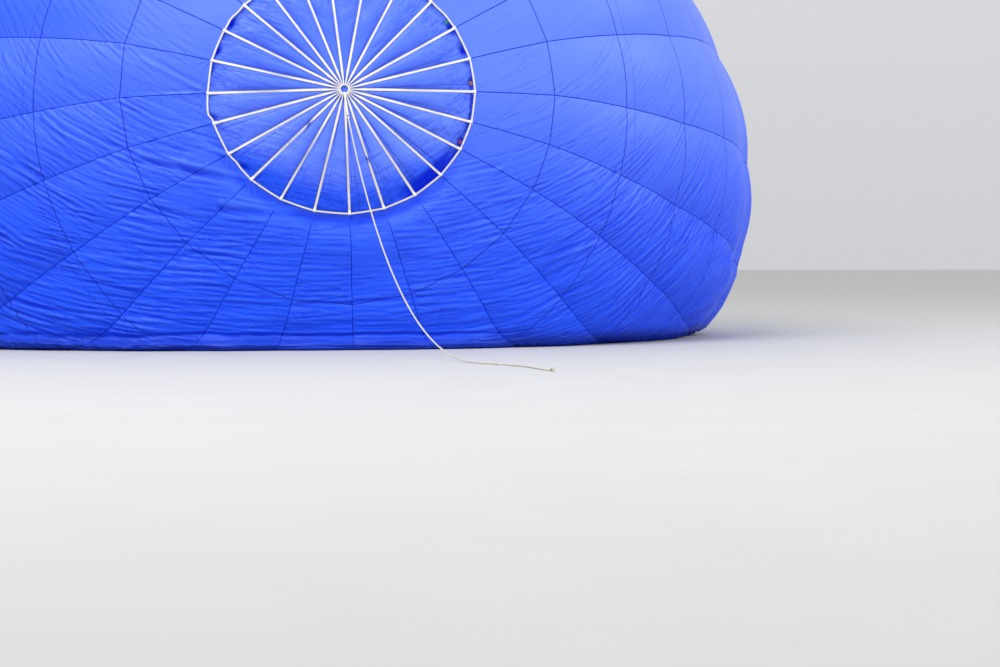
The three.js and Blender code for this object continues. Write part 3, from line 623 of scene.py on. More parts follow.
def mix_color(nt, fac, a, b, blend="MIX"):
    n = nt.nodes.new("ShaderNodeMix"); n.data_type = "RGBA"; n.blend_type = blend
    for key, v in ((0, fac), (6, a), (7, b)):
        if isinstance(v, bpy.types.NodeSocket):
            nt.links.new(v, n.inputs[key])
        else:
            n.inputs[key].default_value = v if key == 0 else (*v, 1)[:4]
    return n.outputs[2]

def ramp(nt, fac, stops):
    n = nt.nodes.new("ShaderNodeValToRGB")
    nt.links.new(fac, n.inputs[0])
    el = n.color_ramp.elements
    while len(el) < len(stops):
        el.new(0.5)
    for e, (pos, col) in zip(el, stops):
        e.position, e.color = pos, (*col, 1)[:4] if not isinstance(col, float) else (col, col, col, 1)
    return n.outputs[0]

def line_mask(nt, dist, half, soft):
    """1 inside half of a line, falling to 0 over soft"""
    n = nt.nodes.new("ShaderNodeMapRange"); n.interpolation_type = "SMOOTHSTEP"
    nt.links.new(dist, n.inputs[0])
    n.inputs[1].default_value, n.inputs[2].default_value = half, half + soft
    n.inputs[3].default_value, n.inputs[4].default_value = 1, 0
    return n.outputs[0]

def between(nt, value, a, b):
    """0 at a, 1 at b, smooth and clamped"""
    n = nt.nodes.new("ShaderNodeMapRange"); n.interpolation_type = "SMOOTHSTEP"
    nt.links.new(value, n.inputs[0])
    n.inputs[1].default_value, n.inputs[2].default_value = a, b
    return n.outputs[0]

def hairlines(nt, uv, along, across, half, seed):
    """fine broken creases: the level lines of a stretched noise; gives them and the noise itself"""
    mp = node(nt, "ShaderNodeMapping", Vector=uv, Location=(seed * 3.7, seed * 5.3, 0.0), Scale=(1 / along, 1 / across, 1.0))
    n = node(nt, "ShaderNodeTexNoise", Vector=mp.outputs[0], Scale=1.0, Detail=2.0, Roughness=0.5, props={"noise_dimensions": "2D"})
    return line_mask(nt, math_node(nt, "ABSOLUTE", math_node(nt, "SUBTRACT", n.outputs[0], 0.5)), 0.0, half), n.outputs[0]

BLUE = (0.005, 0.093, 0.98)
# BLUE_LIT is a painted highlight colour: the cloth as if lit by the bright sky
BLUE_LIT = (0.125, 0.235, 1.0)
BLUE_DEEP = (0.0, 0.034, 0.96)
BLUE_SEAM = (0.0, 0.018, 0.44)

def fabric(name, ring_seams=True):
    """coated ripstop nylon: fine grid, panel seams, slow fading and creasing, with painted sky light and painted shade
    in its creases
    """
    m, nt, bsdf = nodes_of(name, Roughness=0.42)
    out = nt.nodes["Material Output"]
    bsdf.inputs["Specular IOR Level"].default_value = 0.28
    bsdf.inputs["Sheen Weight"].default_value = 0.03
    bsdf.inputs["Sheen Roughness"].default_value = 0.4
    uv = nt.nodes.new("ShaderNodeUVMap"); uv.uv_map = "cut"
    sep = node(nt, "ShaderNodeSeparateXYZ", Vector=uv.outputs[0])
    U, Vv = sep.outputs[0], sep.outputs[1]
    tc = nt.nodes.new("ShaderNodeTexCoord")
    # slow fading of the cloth, and painted sky light: lighter toward the top, as if lit by the bright sky above
    fade = node(nt, "ShaderNodeTexNoise", Vector=tc.outputs["Object"], Scale=0.22, Detail=4.0, Roughness=0.55)
    sepo = node(nt, "ShaderNodeSeparateXYZ", Vector=tc.outputs["Object"])
    painted_lighting = math_node(nt, "MULTIPLY", math_node(nt, "MULTIPLY", sepo.outputs[2], sepo.outputs[2]), 0.040)
    side = node(nt, "ShaderNodeMapRange", Value=sepo.outputs[0])
    side.inputs[1].default_value, side.inputs[2].default_value = -6.0, 5.0
    side.inputs[3].default_value, side.inputs[4].default_value = 0.52, 1.40
    if ring_seams:
        # painted light and shade: lighter toward the right, where more light falls, and darker in the upper-left corner
        painted_lighting = math_node(nt, "MULTIPLY", painted_lighting, side.outputs[0])
        corner = math_node(nt, "MULTIPLY", between(nt, sepo.outputs[2], 4.6, 5.6), between(nt, sepo.outputs[0], -2.2, -4.4))
        painted_lighting = math_node(nt, "SUBTRACT", painted_lighting, math_node(nt, "MULTIPLY", corner, 0.42))
    else:
        # painted light and shade: the vent is painted pale all over as if lit through, a little paler lower down, and
        # painted deep blue shade only along its lower edge where it turns back
        dz = math_node(nt, "SUBTRACT", sepo.outputs[2], CROWN_Z)
        far = math_node(nt, "SQRT", math_node(nt, "ADD", math_node(nt, "MULTIPLY", sepo.outputs[0], sepo.outputs[0]), math_node(nt, "MULTIPLY", math_node(nt, "MULTIPLY", dz, dz), 1.26)))
        turned = math_node(nt, "MULTIPLY", between(nt, far, 1.45, 2.02), between(nt, sepo.outputs[2], 3.6, 2.9))
        painted_lighting = math_node(nt, "SUBTRACT", math_node(nt, "ADD", 0.76, math_node(nt, "MULTIPLY", between(nt, sepo.outputs[2], 4.6, 3.4), 0.20)), math_node(nt, "MULTIPLY", turned, 0.90))
    f = math_node(nt, "ADD", painted_lighting, math_node(nt, "MULTIPLY", math_node(nt, "SUBTRACT", fade.outputs[0], 0.5), 0.35), clamp=True)
    col = mix_color(nt, f, BLUE, BLUE_LIT)
    # ripstop grid of 6 mm squares and the weave between them
    gu = math_node(nt, "ABSOLUTE", math_node(nt, "SUBTRACT", math_node(nt, "FRACT", math_node(nt, "DIVIDE", U, 0.006)), 0.5))
    gv = math_node(nt, "ABSOLUTE", math_node(nt, "SUBTRACT", math_node(nt, "FRACT", math_node(nt, "DIVIDE", Vv, 0.006)), 0.5))
    grid = math_node(nt, "MAXIMUM", gu, gv)
    gm = node(nt, "ShaderNodeMapRange", Value=grid)
    gm.inputs[1].default_value, gm.inputs[2].default_value = 0.40, 0.47
    col = mix_color(nt, math_node(nt, "MULTIPLY", gm.outputs[0], 0.10), col, (0.10, 0.22, 0.95))
    height = math_node(nt, "MULTIPLY", gm.outputs[0], 0.12)
    cloth = node(nt, "ShaderNodeTexNoise", Vector=uv.outputs[0], Scale=22.0, Detail=5.0, Roughness=0.6)
    if ring_seams:
        t = math_node(nt, "DIVIDE", math_node(nt, "SUBTRACT", Vv, RIM_AT), PANEL)
        fr = math_node(nt, "FRACT", math_node(nt, "ADD", t, 0.5))
        dist = math_node(nt, "MULTIPLY", math_node(nt, "ABSOLUTE", math_node(nt, "SUBTRACT", fr, 0.5)), PANEL)
        inside = math_node(nt, "MULTIPLY", math_node(nt, "GREATER_THAN", t, 0.5), math_node(nt, "LESS_THAN", Vv, MOUTH_AT - 0.7))
        seam = math_node(nt, "MULTIPLY", line_mask(nt, dist, 0.0060, 0.003), inside)
        tape = math_node(nt, "MULTIPLY", line_mask(nt, dist, 0.014, 0.004), inside)
        col = mix_color(nt, math_node(nt, "MULTIPLY", tape, 0.16), col, (0.006, 0.045, 0.72))
        # a second stitched line outside the second ring
        d2 = math_node(nt, "ABSOLUTE", math_node(nt, "SUBTRACT", Vv, RIM_AT + 2 * PANEL + 0.18))
        s2 = line_mask(nt, d2, 0.004, 0.006)
        height = math_node(nt, "ADD", height, math_node(nt, "MULTIPLY", tape, 1.4))
        # hair-fine creases of slack cloth, running along the wrinkles, in patches and mostly low down; painted shade
        # darkens the colour along them
        lay_ = nt.nodes.new("ShaderNodeUVMap"); lay_.uv_map = "lie"
        line1, wave1 = hairlines(nt, lay_.outputs[0], 0.80, 0.095, 0.040, 1)
        line2, wave2 = hairlines(nt, lay_.outputs[0], 0.45, 0.050, 0.050, 2)
        where = node(nt, "ShaderNodeMapping", Vector=lay_.outputs[0], Scale=(0.9, 2.4, 1.0))
        here = node(nt, "ShaderNodeTexNoise", Vector=where.outputs[0], Scale=1.0, Detail=2.0, props={"noise_dimensions": "2D"})
        patch_ = math_node(nt, "ADD", math_node(nt, "MULTIPLY", between(nt, here.outputs[0], 0.43, 0.60), 0.8), 0.2)
        still = math_node(nt, "MULTIPLY", math_node(nt, "MULTIPLY", between(nt, sepo.outputs[0], 1.2, 3.0), between(nt, sepo.outputs[2], 2.1, 3.3)), 0.78)
        slack = math_node(nt, "MULTIPLY", math_node(nt, "MULTIPLY", patch_, math_node(nt, "SUBTRACT", 1.0, still)), math_node(nt, "ADD", math_node(nt, "MULTIPLY", between(nt, sepo.outputs[2], 4.7, 2.9), 0.85), 0.15))
        lines = math_node(nt, "MULTIPLY", math_node(nt, "ADD", line1, math_node(nt, "MULTIPLY", line2, 0.6)), slack)
        col = mix_color(nt, math_node(nt, "MULTIPLY", lines, 0.50), col, (0.0, 0.038, 0.92))
        # painted shade and highlight: the bottoms of the creases see light only through the cloth, painted deep and
        # saturated; the crests get a paler painted highlight
        uvh = nt.nodes.new("ShaderNodeUVMap"); uvh.uv_map = "hollow"
        seph = node(nt, "ShaderNodeSeparateXYZ", Vector=uvh.outputs[0])
        col = mix_color(nt, math_node(nt, "MULTIPLY", seph.outputs[0], 0.44), col, (0.0, 0.042, 0.94))
        col = mix_color(nt, math_node(nt, "MULTIPLY", seph.outputs[1], 0.16), col, (0.11, 0.24, 1.0))
        dull = math_node(nt, "MAXIMUM", math_node(nt, "MULTIPLY", lines, 0.9), seph.outputs[0], clamp=True)
        col = mix_color(nt, math_node(nt, "MULTIPLY", seam, 0.88), col, BLUE_SEAM)
        col = mix_color(nt, math_node(nt, "MULTIPLY", s2, 0.40), col, BLUE_SEAM)
        # painted shade: darker low down, where the cloth lies on the ground
        col = mix_color(nt, math_node(nt, "MULTIPLY", between(nt, sepo.outputs[2], 0.34, 0.10), 0.72), col, (0.003, 0.028, 0.42))
        waves = math_node(nt, "MULTIPLY", math_node(nt, "ADD", wave1, math_node(nt, "MULTIPLY", wave2, 0.45)), slack)
        loose = math_node(nt, "SUBTRACT", waves, math_node(nt, "MULTIPLY", lines, 0.16))
    else:
        uv2 = nt.nodes.new("ShaderNodeUVMap"); uv2.uv_map = "seam"
        sep2 = node(nt, "ShaderNodeSeparateXYZ", Vector=uv2.outputs[0])
        lower = node(nt, "ShaderNodeMapRange", Value=sepo.outputs[2])
        lower.inputs[1].default_value, lower.inputs[2].default_value = 3.9, 3.0
        sm = math_node(nt, "MULTIPLY", line_mask(nt, sep2.outputs[0], 0.006, 0.005), math_node(nt, "MULTIPLY_ADD", lower.outputs[0], 0.5))
        sm = math_node(nt, "MULTIPLY", sm, between(nt, far, 0.16, 0.45))
        col = mix_color(nt, sm, col, BLUE_SEAM)
        # short crinkles between tape and seam toward the lower edge, and a few all over, with painted shade along them
        near_seam = math_node(nt, "ADD", math_node(nt, "MULTIPLY", between(nt, sep2.outputs[0], 0.15, 0.04), 0.92), 0.08)
        lowdown = math_node(nt, "ADD", math_node(nt, "MULTIPLY", math_node(nt, "MULTIPLY", between(nt, sepo.outputs[2], 3.3, 2.8), between(nt, far, 1.2, 1.6)), 0.8), 0.2)
        crk, crw = hairlines(nt, uv2.outputs[0], 0.030, 0.240, 0.048, 3)
        crinkle = math_node(nt, "MULTIPLY", math_node(nt, "MULTIPLY", near_seam, lowdown), between(nt, far, 0.25, 0.7))
        col = mix_color(nt, math_node(nt, "MULTIPLY", math_node(nt, "MULTIPLY", crk, crinkle), 0.70), col, (0.0, 0.022, 0.58))
        loose = math_node(nt, "MULTIPLY", math_node(nt, "SUBTRACT", crw, math_node(nt, "MULTIPLY", crk, 0.15)), crinkle)
        # creases pulled in from the rim, slanting the way the cloth hangs, strongest near the rim, with painted shade
        # along them
        lay_ = nt.nodes.new("ShaderNodeUVMap"); lay_.uv_map = "lie"
        line1, wave1 = hairlines(nt, lay_.outputs[0], 0.60, 0.090, 0.042, 5)
        line2, wave2 = hairlines(nt, lay_.outputs[0], 0.32, 0.050, 0.048, 6)
        drawn = math_node(nt, "ADD", math_node(nt, "MULTIPLY", between(nt, far, 1.2, 1.95), 0.75), math_node(nt, "MULTIPLY", between(nt, far, 0.2, 0.7), 0.25))
        lines = math_node(nt, "MULTIPLY", math_node(nt, "ADD", line1, math_node(nt, "MULTIPLY", line2, 0.6)), drawn)
        col = mix_color(nt, math_node(nt, "MULTIPLY", lines, 0.42), col, (0.0, 0.040, 0.84))
        waves = math_node(nt, "MULTIPLY", math_node(nt, "ADD", wave1, math_node(nt, "MULTIPLY", wave2, 0.45)), drawn)
        loose = math_node(nt, "ADD", loose, math_node(nt, "SUBTRACT", math_node(nt, "MULTIPLY", waves, 0.8), math_node(nt, "MULTIPLY", lines, 0.14)))
        dull = math_node(nt, "ADD", math_node(nt, "MULTIPLY", crk, crinkle), lines, clamp=True)
        # where its edge has slipped back behind the rim, hardly any light reaches it
        uv3 = nt.nodes.new("ShaderNodeUVMap"); uv3.uv_map = "tucked"
        sep3 = node(nt, "ShaderNodeSeparateXYZ", Vector=uv3.outputs[0])
        col = mix_color(nt, math_node(nt, "MULTIPLY", sep3.outputs[0], 0.92), col, BLUE_DEEP)
    height = math_node(nt, "ADD", height, math_node(nt, "MULTIPLY", cloth.outputs[0], 0.8))
    bump = node(nt, "ShaderNodeBump", Height=height, Strength=0.35, Distance=0.001)
    bump = node(nt, "ShaderNodeBump", Height=loose, Strength=1.0, Distance=0.014, Normal=bump.outputs[0])
    nt.links.new(col, bsdf.inputs["Base Color"])
    nt.links.new(bump.outputs[0], bsdf.inputs["Normal"])
    rough = node(nt, "ShaderNodeMapRange", Value=cloth.outputs[0])
    rough.inputs[3].default_value, rough.inputs[4].default_value = 0.36, 0.50
    nt.links.new(math_node(nt, "ADD", rough.outputs[0], math_node(nt, "MULTIPLY", dull, 0.30), clamp=True), bsdf.inputs["Roughness"])
    tr = node(nt, "ShaderNodeBsdfTranslucent", Normal=bump.outputs[0])
    nt.links.new(col, tr.inputs[0])
    mx = node(nt, "ShaderNodeMixShader", Fac=0.20, i1=bsdf.outputs[0], i2=tr.outputs[0])
    nt.links.new(mx.outputs[0], out.inputs[0])
    return m

def webbing(name, colour, dark, pitch=0.0022, sheen=0.25, shine=0.3, selvage=0.0):
    """woven tape: herringbone ribs along it, soft grey wear"""
    m, nt, bsdf = nodes_of(name, Roughness=0.75)
    bsdf.inputs["Sheen Weight"].default_value = sheen
    bsdf.inputs["Specular IOR Level"].default_value = shine
    uv = nt.nodes.new("ShaderNodeUVMap"); uv.uv_map = "cut"
    sep = node(nt, "ShaderNodeSeparateXYZ", Vector=uv.outputs[0])
    zig = math_node(nt, "PINGPONG", sep.outputs[0], 0.0035)
    rib = math_node(nt, "SINE", math_node(nt, "MULTIPLY", math_node(nt, "ADD", sep.outputs[1], zig), 2 * math.pi / pitch))
    thread = math_node(nt, "SINE", math_node(nt, "MULTIPLY", sep.outputs[0], 2 * math.pi / (pitch * 0.8)))
    tc = nt.nodes.new("ShaderNodeTexCoord")
    dirt = node(nt, "ShaderNodeTexNoise", Vector=tc.outputs["Object"], Scale=3.0, Detail=6.0, Roughness=0.65)
    f = ramp(nt, dirt.outputs[0], [(0.35, 0.0), (0.75, 1.0)])
    col = mix_color(nt, math_node(nt, "MULTIPLY", f, 0.35), colour, dark)
    col = mix_color(nt, math_node(nt, "MULTIPLY", math_node(nt, "ADD", rib, 1.0), 0.06), col, dark)
    if selvage:
        # painted shade along the woven edges, and the whole tape duller toward the lower edge of the vent
        sepz = node(nt, "ShaderNodeSeparateXYZ", Vector=tc.outputs["Object"])
        edge = between(nt, math_node(nt, "ABSOLUTE", sep.outputs[0]), selvage - 0.006, selvage - 0.002)
        col = mix_color(nt, math_node(nt, "MULTIPLY", edge, 0.75), col, (0.30, 0.28, 0.20))
        col = mix_color(nt, math_node(nt, "MULTIPLY", between(nt, sepz.outputs[2], 4.0, 2.5), 0.45), col, (0.46, 0.44, 0.36))
    h = math_node(nt, "ADD", rib, math_node(nt, "MULTIPLY", thread, 0.5))
    bump = node(nt, "ShaderNodeBump", Height=h, Strength=0.4, Distance=0.0004)
    nt.links.new(col, bsdf.inputs["Base Color"]); nt.links.new(bump.outputs[0], bsdf.inputs["Normal"])
    return m

M_FABRIC = fabric("ripstop_blue")
M_PARA = fabric("ripstop_vent", ring_seams=False)
M_WHITE = webbing("webbing_white", (0.82, 0.80, 0.73), (0.56, 0.53, 0.45), sheen=0.12, shine=0.2)
M_TAPE = webbing("webbing_crown_tape", (0.82, 0.80, 0.73), (0.56, 0.53, 0.45), sheen=0.12, shine=0.2, selvage=0.0200)
M_RIM = webbing("webbing_rim", (0.82, 0.80, 0.73), (0.56, 0.53, 0.45), sheen=0.12, shine=0.2, selvage=0.0165)
M_SEAM = webbing("seam_tape_blue", (0.0, 0.022, 0.50), (0.0, 0.014, 0.34), pitch=0.0018, sheen=0.0, shine=0.12)
M_TAB_GREEN = webbing("tab_green", (0.01, 0.15, 0.10), (0.005, 0.09, 0.06))
M_TAB_ORANGE = webbing("tab_orange", (0.30, 0.12, 0.03), (0.18, 0.07, 0.02))
M_TAB_RED = webbing("tab_red", (0.19, 0.02, 0.07), (0.11, 0.01, 0.04))
M_DARK = webbing("mouth_cloth", (0.03, 0.05, 0.22), (0.015, 0.025, 0.12), pitch=0.003)

def thread():
    m, nt, bsdf = nodes_of("stitch_thread", Roughness=0.6)
    tc = nt.nodes.new("ShaderNodeTexCoord")
    n = node(nt, "ShaderNodeTexNoise", Vector=tc.outputs["Object"], Scale=40.0, Detail=3.0)
    nt.links.new(mix_color(nt, n.outputs[0], (0.34, 0.32, 0.28), (0.52, 0.50, 0.45)), bsdf.inputs["Base Color"])
    return m
M_THREAD = thread()

def metal(name, colour, dark, rough=(0.25, 0.45), metallic=1.0, scale=18.0, brush=0.0, grime=0.3):
    """worn metal: smears, fine scratches and darker grime"""
    m, nt, bsdf = nodes_of(name, Metallic=metallic)
    tc = nt.nodes.new("ShaderNodeTexCoord")
    n1 = node(nt, "ShaderNodeTexNoise", Vector=tc.outputs["Object"], Scale=scale, Detail=6.0, Roughness=0.6)
    mp = node(nt, "ShaderNodeMapping", Vector=tc.outputs["Object"], Scale=(260.0, 260.0, 8.0) if brush else (60.0, 60.0, 60.0))
    n2 = node(nt, "ShaderNodeTexNoise", Vector=mp.outputs[0], Scale=1.0, Detail=4.0)
    f = ramp(nt, n1.outputs[0], [(0.42, 0.0), (0.72, 1.0)])
    nt.links.new(mix_color(nt, math_node(nt, "MULTIPLY", f, grime), colour, dark), bsdf.inputs["Base Color"])
    r = node(nt, "ShaderNodeMapRange", Value=math_node(nt, "ADD", math_node(nt, "MULTIPLY", n1.outputs[0], 0.6), math_node(nt, "MULTIPLY", n2.outputs[0], 0.4)))
    r.inputs[1].default_value, r.inputs[2].default_value = 0.3, 0.7
    r.inputs[3].default_value, r.inputs[4].default_value = rough
    nt.links.new(r.outputs[0], bsdf.inputs["Roughness"])
    bump = node(nt, "ShaderNodeBump", Height=n2.outputs[0], Strength=0.12, Distance=0.0006)
    nt.links.new(bump.outputs[0], bsdf.inputs["Normal"])
    return m
M_ALLOY = metal("ring_alloy", (0.70, 0.71, 0.73), (0.35, 0.35, 0.36))

# ------------------------------------------------------------------ more materials
def grained(name, colour, dark, rough=(0.45, 0.7), grain=420.0, depth=0.0006, patch=5.0, sheen=0.0):
    """hide: fine pebbled grain, darker where hands and straps rub it"""
    m, nt, bsdf = nodes_of(name)
    bsdf.inputs["Sheen Weight"].default_value = sheen
    tc = nt.nodes.new("ShaderNodeTexCoord")
    big = node(nt, "ShaderNodeTexNoise", Vector=tc.outputs["Object"], Scale=patch, Detail=6.0, Roughness=0.62)
    peb = node(nt, "ShaderNodeTexVoronoi", Vector=tc.outputs["Object"], Scale=grain, props={"feature": "DISTANCE_TO_EDGE"})
    mid = node(nt, "ShaderNodeTexNoise", Vector=tc.outputs["Object"], Scale=55.0, Detail=5.0, Roughness=0.6)
    f = ramp(nt, big.outputs[0], [(0.35, 0.0), (0.7, 1.0)])
    col = mix_color(nt, f, colour, dark)
    col = mix_color(nt, math_node(nt, "MULTIPLY", mid.outputs[0], 0.35), col, dark)
    nt.links.new(col, bsdf.inputs["Base Color"])
    r = node(nt, "ShaderNodeMapRange", Value=mid.outputs[0])
    r.inputs[1].default_value, r.inputs[2].default_value = 0.3, 0.7
    r.inputs[3].default_value, r.inputs[4].default_value = rough
    nt.links.new(r.outputs[0], bsdf.inputs["Roughness"])
    h = math_node(nt, "ADD", math_node(nt, "MULTIPLY", peb.outputs["Distance"], 1.5), mid.outputs[0])
    bump = node(nt, "ShaderNodeBump", Height=h, Strength=0.5, Distance=depth)
    nt.links.new(bump.outputs[0], bsdf.inputs["Normal"])
    return m

def rope_cloth():
    """laid yarns over the braid, greyer and greener where it lies on the ground"""
    m, nt, bsdf = nodes_of("rope_braid", Roughness=0.86)
    bsdf.inputs["Sheen Weight"].default_value = 0.2
    uv = nt.nodes.new("ShaderNodeUVMap"); uv.uv_map = "cut"
    sep = node(nt, "ShaderNodeSeparateXYZ", Vector=uv.outputs[0])
    tc = nt.nodes.new("ShaderNodeTexCoord")
    dirt = node(nt, "ShaderNodeTexNoise", Vector=tc.outputs["Object"], Scale=4.0, Detail=7.0, Roughness=0.65)
    yarn = math_node(nt, "SINE", math_node(nt, "MULTIPLY", math_node(nt, "ADD", sep.outputs[0], sep.outputs[1]), 2 * math.pi / 0.0016))
    sepo = node(nt, "ShaderNodeSeparateXYZ", Vector=tc.outputs["Object"])
    low = node(nt, "ShaderNodeMapRange", Value=sepo.outputs[2])
    low.inputs[1].default_value, low.inputs[2].default_value = 0.35, 0.0
    f = ramp(nt, dirt.outputs[0], [(0.38, 0.0), (0.72, 1.0)])
    col = mix_color(nt, math_node(nt, "MULTIPLY", f, 0.45), (0.60, 0.57, 0.49), (0.40, 0.36, 0.27))
    col = mix_color(nt, math_node(nt, "MULTIPLY", math_node(nt, "MULTIPLY", f, low.outputs[0]), 0.5), col, (0.33, 0.32, 0.20))
    col = mix_color(nt, math_node(nt, "MULTIPLY", math_node(nt, "ADD", yarn, 1.0), 0.05), col, (0.42, 0.38, 0.30))
    nt.links.new(col, bsdf.inputs["Base Color"])
    bump = node(nt, "ShaderNodeBump", Height=yarn, Strength=0.45, Distance=0.0004)
    nt.links.new(bump.outputs[0], bsdf.inputs["Normal"])
    return m

def willow(name, tones, rough=(0.42, 0.66)):
    """peeled willow: each rod its own tone, fine streaks along it, darker in broad patches"""
    m, nt, bsdf = nodes_of(name)
    uv = nt.nodes.new("ShaderNodeUVMap"); uv.uv_map = "cut"
    tc = nt.nodes.new("ShaderNodeTexCoord")
    rod_ = node(nt, "ShaderNodeTexNoise", Vector=tc.outputs["Object"], Scale=14.0, Detail=3.0)
    mp = node(nt, "ShaderNodeMapping", Vector=uv.outputs[0], Scale=(420.0, 9.0, 1.0))
    st = node(nt, "ShaderNodeTexNoise", Vector=mp.outputs[0], Scale=1.0, Detail=6.0, Roughness=0.6)
    age = node(nt, "ShaderNodeTexNoise", Vector=tc.outputs["Object"], Scale=1.3, Detail=5.0)
    col = ramp(nt, rod_.outputs[0], [(0.30, tones[0]), (0.52, tones[1]), (0.72, tones[2])])
    col = mix_color(nt, math_node(nt, "MULTIPLY", st.outputs[0], 0.45), col, tones[0])
    col = mix_color(nt, math_node(nt, "MULTIPLY", ramp(nt, age.outputs[0], [(0.45, 0.0), (0.75, 1.0)]), 0.35), col, (0.16, 0.10, 0.05))
    nt.links.new(col, bsdf.inputs["Base Color"])
    r = node(nt, "ShaderNodeMapRange", Value=st.outputs[0])
    r.inputs[3].default_value, r.inputs[4].default_value = rough
    nt.links.new(r.outputs[0], bsdf.inputs["Roughness"])
    bump = node(nt, "ShaderNodeBump", Height=st.outputs[0], Strength=0.35, Distance=0.0006)
    nt.links.new(bump.outputs[0], bsdf.inputs["Normal"])
    return m

def plywood(name):
    """birch ply under worn varnish: long grain along the basket, scuffs and trodden dirt"""
    m, nt, bsdf = nodes_of(name)
    tc = nt.nodes.new("ShaderNodeTexCoord")
    mp = node(nt, "ShaderNodeMapping", Vector=tc.outputs["Object"], Scale=(1.2, 9.0, 16.0))
    gr = node(nt, "ShaderNodeTexNoise", Vector=mp.outputs[0], Scale=3.0, Detail=8.0, Roughness=0.68, Distortion=0.6)
    sc = node(nt, "ShaderNodeTexNoise", Vector=tc.outputs["Object"], Scale=6.0, Detail=8.0, Roughness=0.7)
    col = ramp(nt, gr.outputs[0], [(0.30, (0.30, 0.17, 0.075)), (0.50, (0.47, 0.29, 0.14)), (0.70, (0.60, 0.40, 0.21))])
    col = mix_color(nt, math_node(nt, "MULTIPLY", ramp(nt, sc.outputs[0], [(0.50, 0.0), (0.70, 1.0)]), 0.55), col, (0.16, 0.12, 0.08))
    nt.links.new(col, bsdf.inputs["Base Color"])
    r = node(nt, "ShaderNodeMapRange", Value=sc.outputs[0])
    r.inputs[1].default_value, r.inputs[2].default_value = 0.35, 0.70
    r.inputs[3].default_value, r.inputs[4].default_value = 0.35, 0.72
    nt.links.new(r.outputs[0], bsdf.inputs["Roughness"])
    bump = node(nt, "ShaderNodeBump", Height=math_node(nt, "ADD", gr.outputs[0], sc.outputs[0]), Strength=0.25, Distance=0.0008)
    nt.links.new(bump.outputs[0], bsdf.inputs["Normal"])
    return m

M_ROPE = rope_cloth()
M_LEATHER = grained("leather_brown", (0.150, 0.070, 0.034), (0.060, 0.028, 0.014))
M_HIDE = grained("rawhide", (0.33, 0.20, 0.10), (0.16, 0.09, 0.045), grain=260.0, rough=(0.5, 0.75))
M_WICKER = willow("willow_weave", ((0.24, 0.125, 0.045), (0.42, 0.245, 0.10), (0.56, 0.36, 0.17)))
M_CANE = willow("willow_stake", ((0.20, 0.10, 0.038), (0.33, 0.19, 0.08), (0.45, 0.28, 0.13)))
M_PLY = plywood("birch_ply")
M_WIRE = metal("wire_strands", (0.56, 0.57, 0.59), (0.26, 0.26, 0.27), rough=(0.30, 0.50), scale=30.0)
M_STEEL = metal("frame_stainless", (0.62, 0.63, 0.65), (0.33, 0.32, 0.31), rough=(0.22, 0.42), scale=12.0, brush=1.0)
M_BURNER = metal("burner_machined", (0.66, 0.67, 0.69), (0.36, 0.35, 0.33), rough=(0.20, 0.38), scale=16.0, brush=1.0)
M_TINT = metal("heat_tinted", (0.52, 0.42, 0.30), (0.13, 0.12, 0.17), rough=(0.24, 0.45), scale=7.0, grime=0.85)
M_SOOT = metal("sooted_steel", (0.12, 0.115, 0.11), (0.03, 0.03, 0.03), rough=(0.5, 0.8), metallic=0.7, scale=20.0, grime=0.8)
M_CYL = metal("cylinder_satin", (0.72, 0.73, 0.74), (0.42, 0.42, 0.41), rough=(0.28, 0.48), scale=9.0, brush=1.0, grime=0.4)
M_BRASS = metal("valve_brass", (0.66, 0.46, 0.18), (0.30, 0.19, 0.08), rough=(0.25, 0.45), scale=40.0)
M_RUBBER = grained("grip_black", (0.022, 0.022, 0.024), (0.045, 0.043, 0.040), grain=700.0, rough=(0.6, 0.85))
M_STRAP = webbing("strap_black", (0.035, 0.035, 0.040), (0.09, 0.085, 0.075), pitch=0.0024, sheen=0.05)
M_HANDLE = grained("lever_red", (0.42, 0.018, 0.012), (0.20, 0.012, 0.010), grain=600.0, rough=(0.3, 0.5))

BODY_OF = {n: o["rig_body"] for n, o in frame["nodes"].items()}

def finish_piece(ob, *replaced, slot=None):
    if replaced:
        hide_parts(*replaced)
    return ob

# ------------------------------------------------------------------ crown line: a catenary from the shackle, then lying to its knot
ROPE_R = 0.012
SHACKLE_C, LINE_TOP = np.array([0.053, -6.644, 3.766]), np.array([0.055, -6.650, 3.736])
LINE_SAG, LINE_REACH = 2.5, 3.91
HEADING = unit(np.array([0.334, -0.943, 0.0]))
LAID = [[0.35, 0.02], [0.8, 0.09], [1.25, 0.10], [1.7, 0.02], [2.05, -0.07], [2.3, -0.10]]     # [past touchdown, aside]

def line_route():
    pts = []
    scale = (LINE_TOP[2] - 0.013) / (LINE_SAG * (math.cosh(LINE_REACH / LINE_SAG) - 1))
    for i in range(25):
        u = LINE_REACH * (1 - (1 - i / 24) ** 1.15)
        z = 0.013 + LINE_SAG * (math.cosh((LINE_REACH - u) / LINE_SAG) - 1) * scale
        pts.append([LINE_TOP[0] + HEADING[0] * u, LINE_TOP[1] + HEADING[1] * u, z])
    foot = pts[-1]
    for on, aside in LAID:
        pts.append([foot[0] + HEADING[0] * on - HEADING[1] * aside, foot[1] + HEADING[1] * on + HEADING[0] * aside, 0.013])
    return np.array(pts)

def braided(path, r, lobes=3, pitch=0.036, sides=12, relief=0.15):
    """a braided rope along a path: strands crossing over it show as staggered rows of slanting bulges"""
    l = np.concatenate([[0], np.cumsum(np.linalg.norm(np.diff(path, axis=0), axis=1))])
    a = np.linspace(0, 2 * np.pi, sides, endpoint=False)
    A, L = np.meshgrid(a, l)
    w = 2 * np.pi * L / pitch
    cross = np.cos(lobes * A) * np.cos(w) + 0.35 * np.sin(lobes * A) * np.sin(w)
    R = r * (1 - relief * 0.5 + relief * 0.5 * cross)
    return sweep(path, np.stack([R * np.cos(A), R * np.sin(A)], -1))

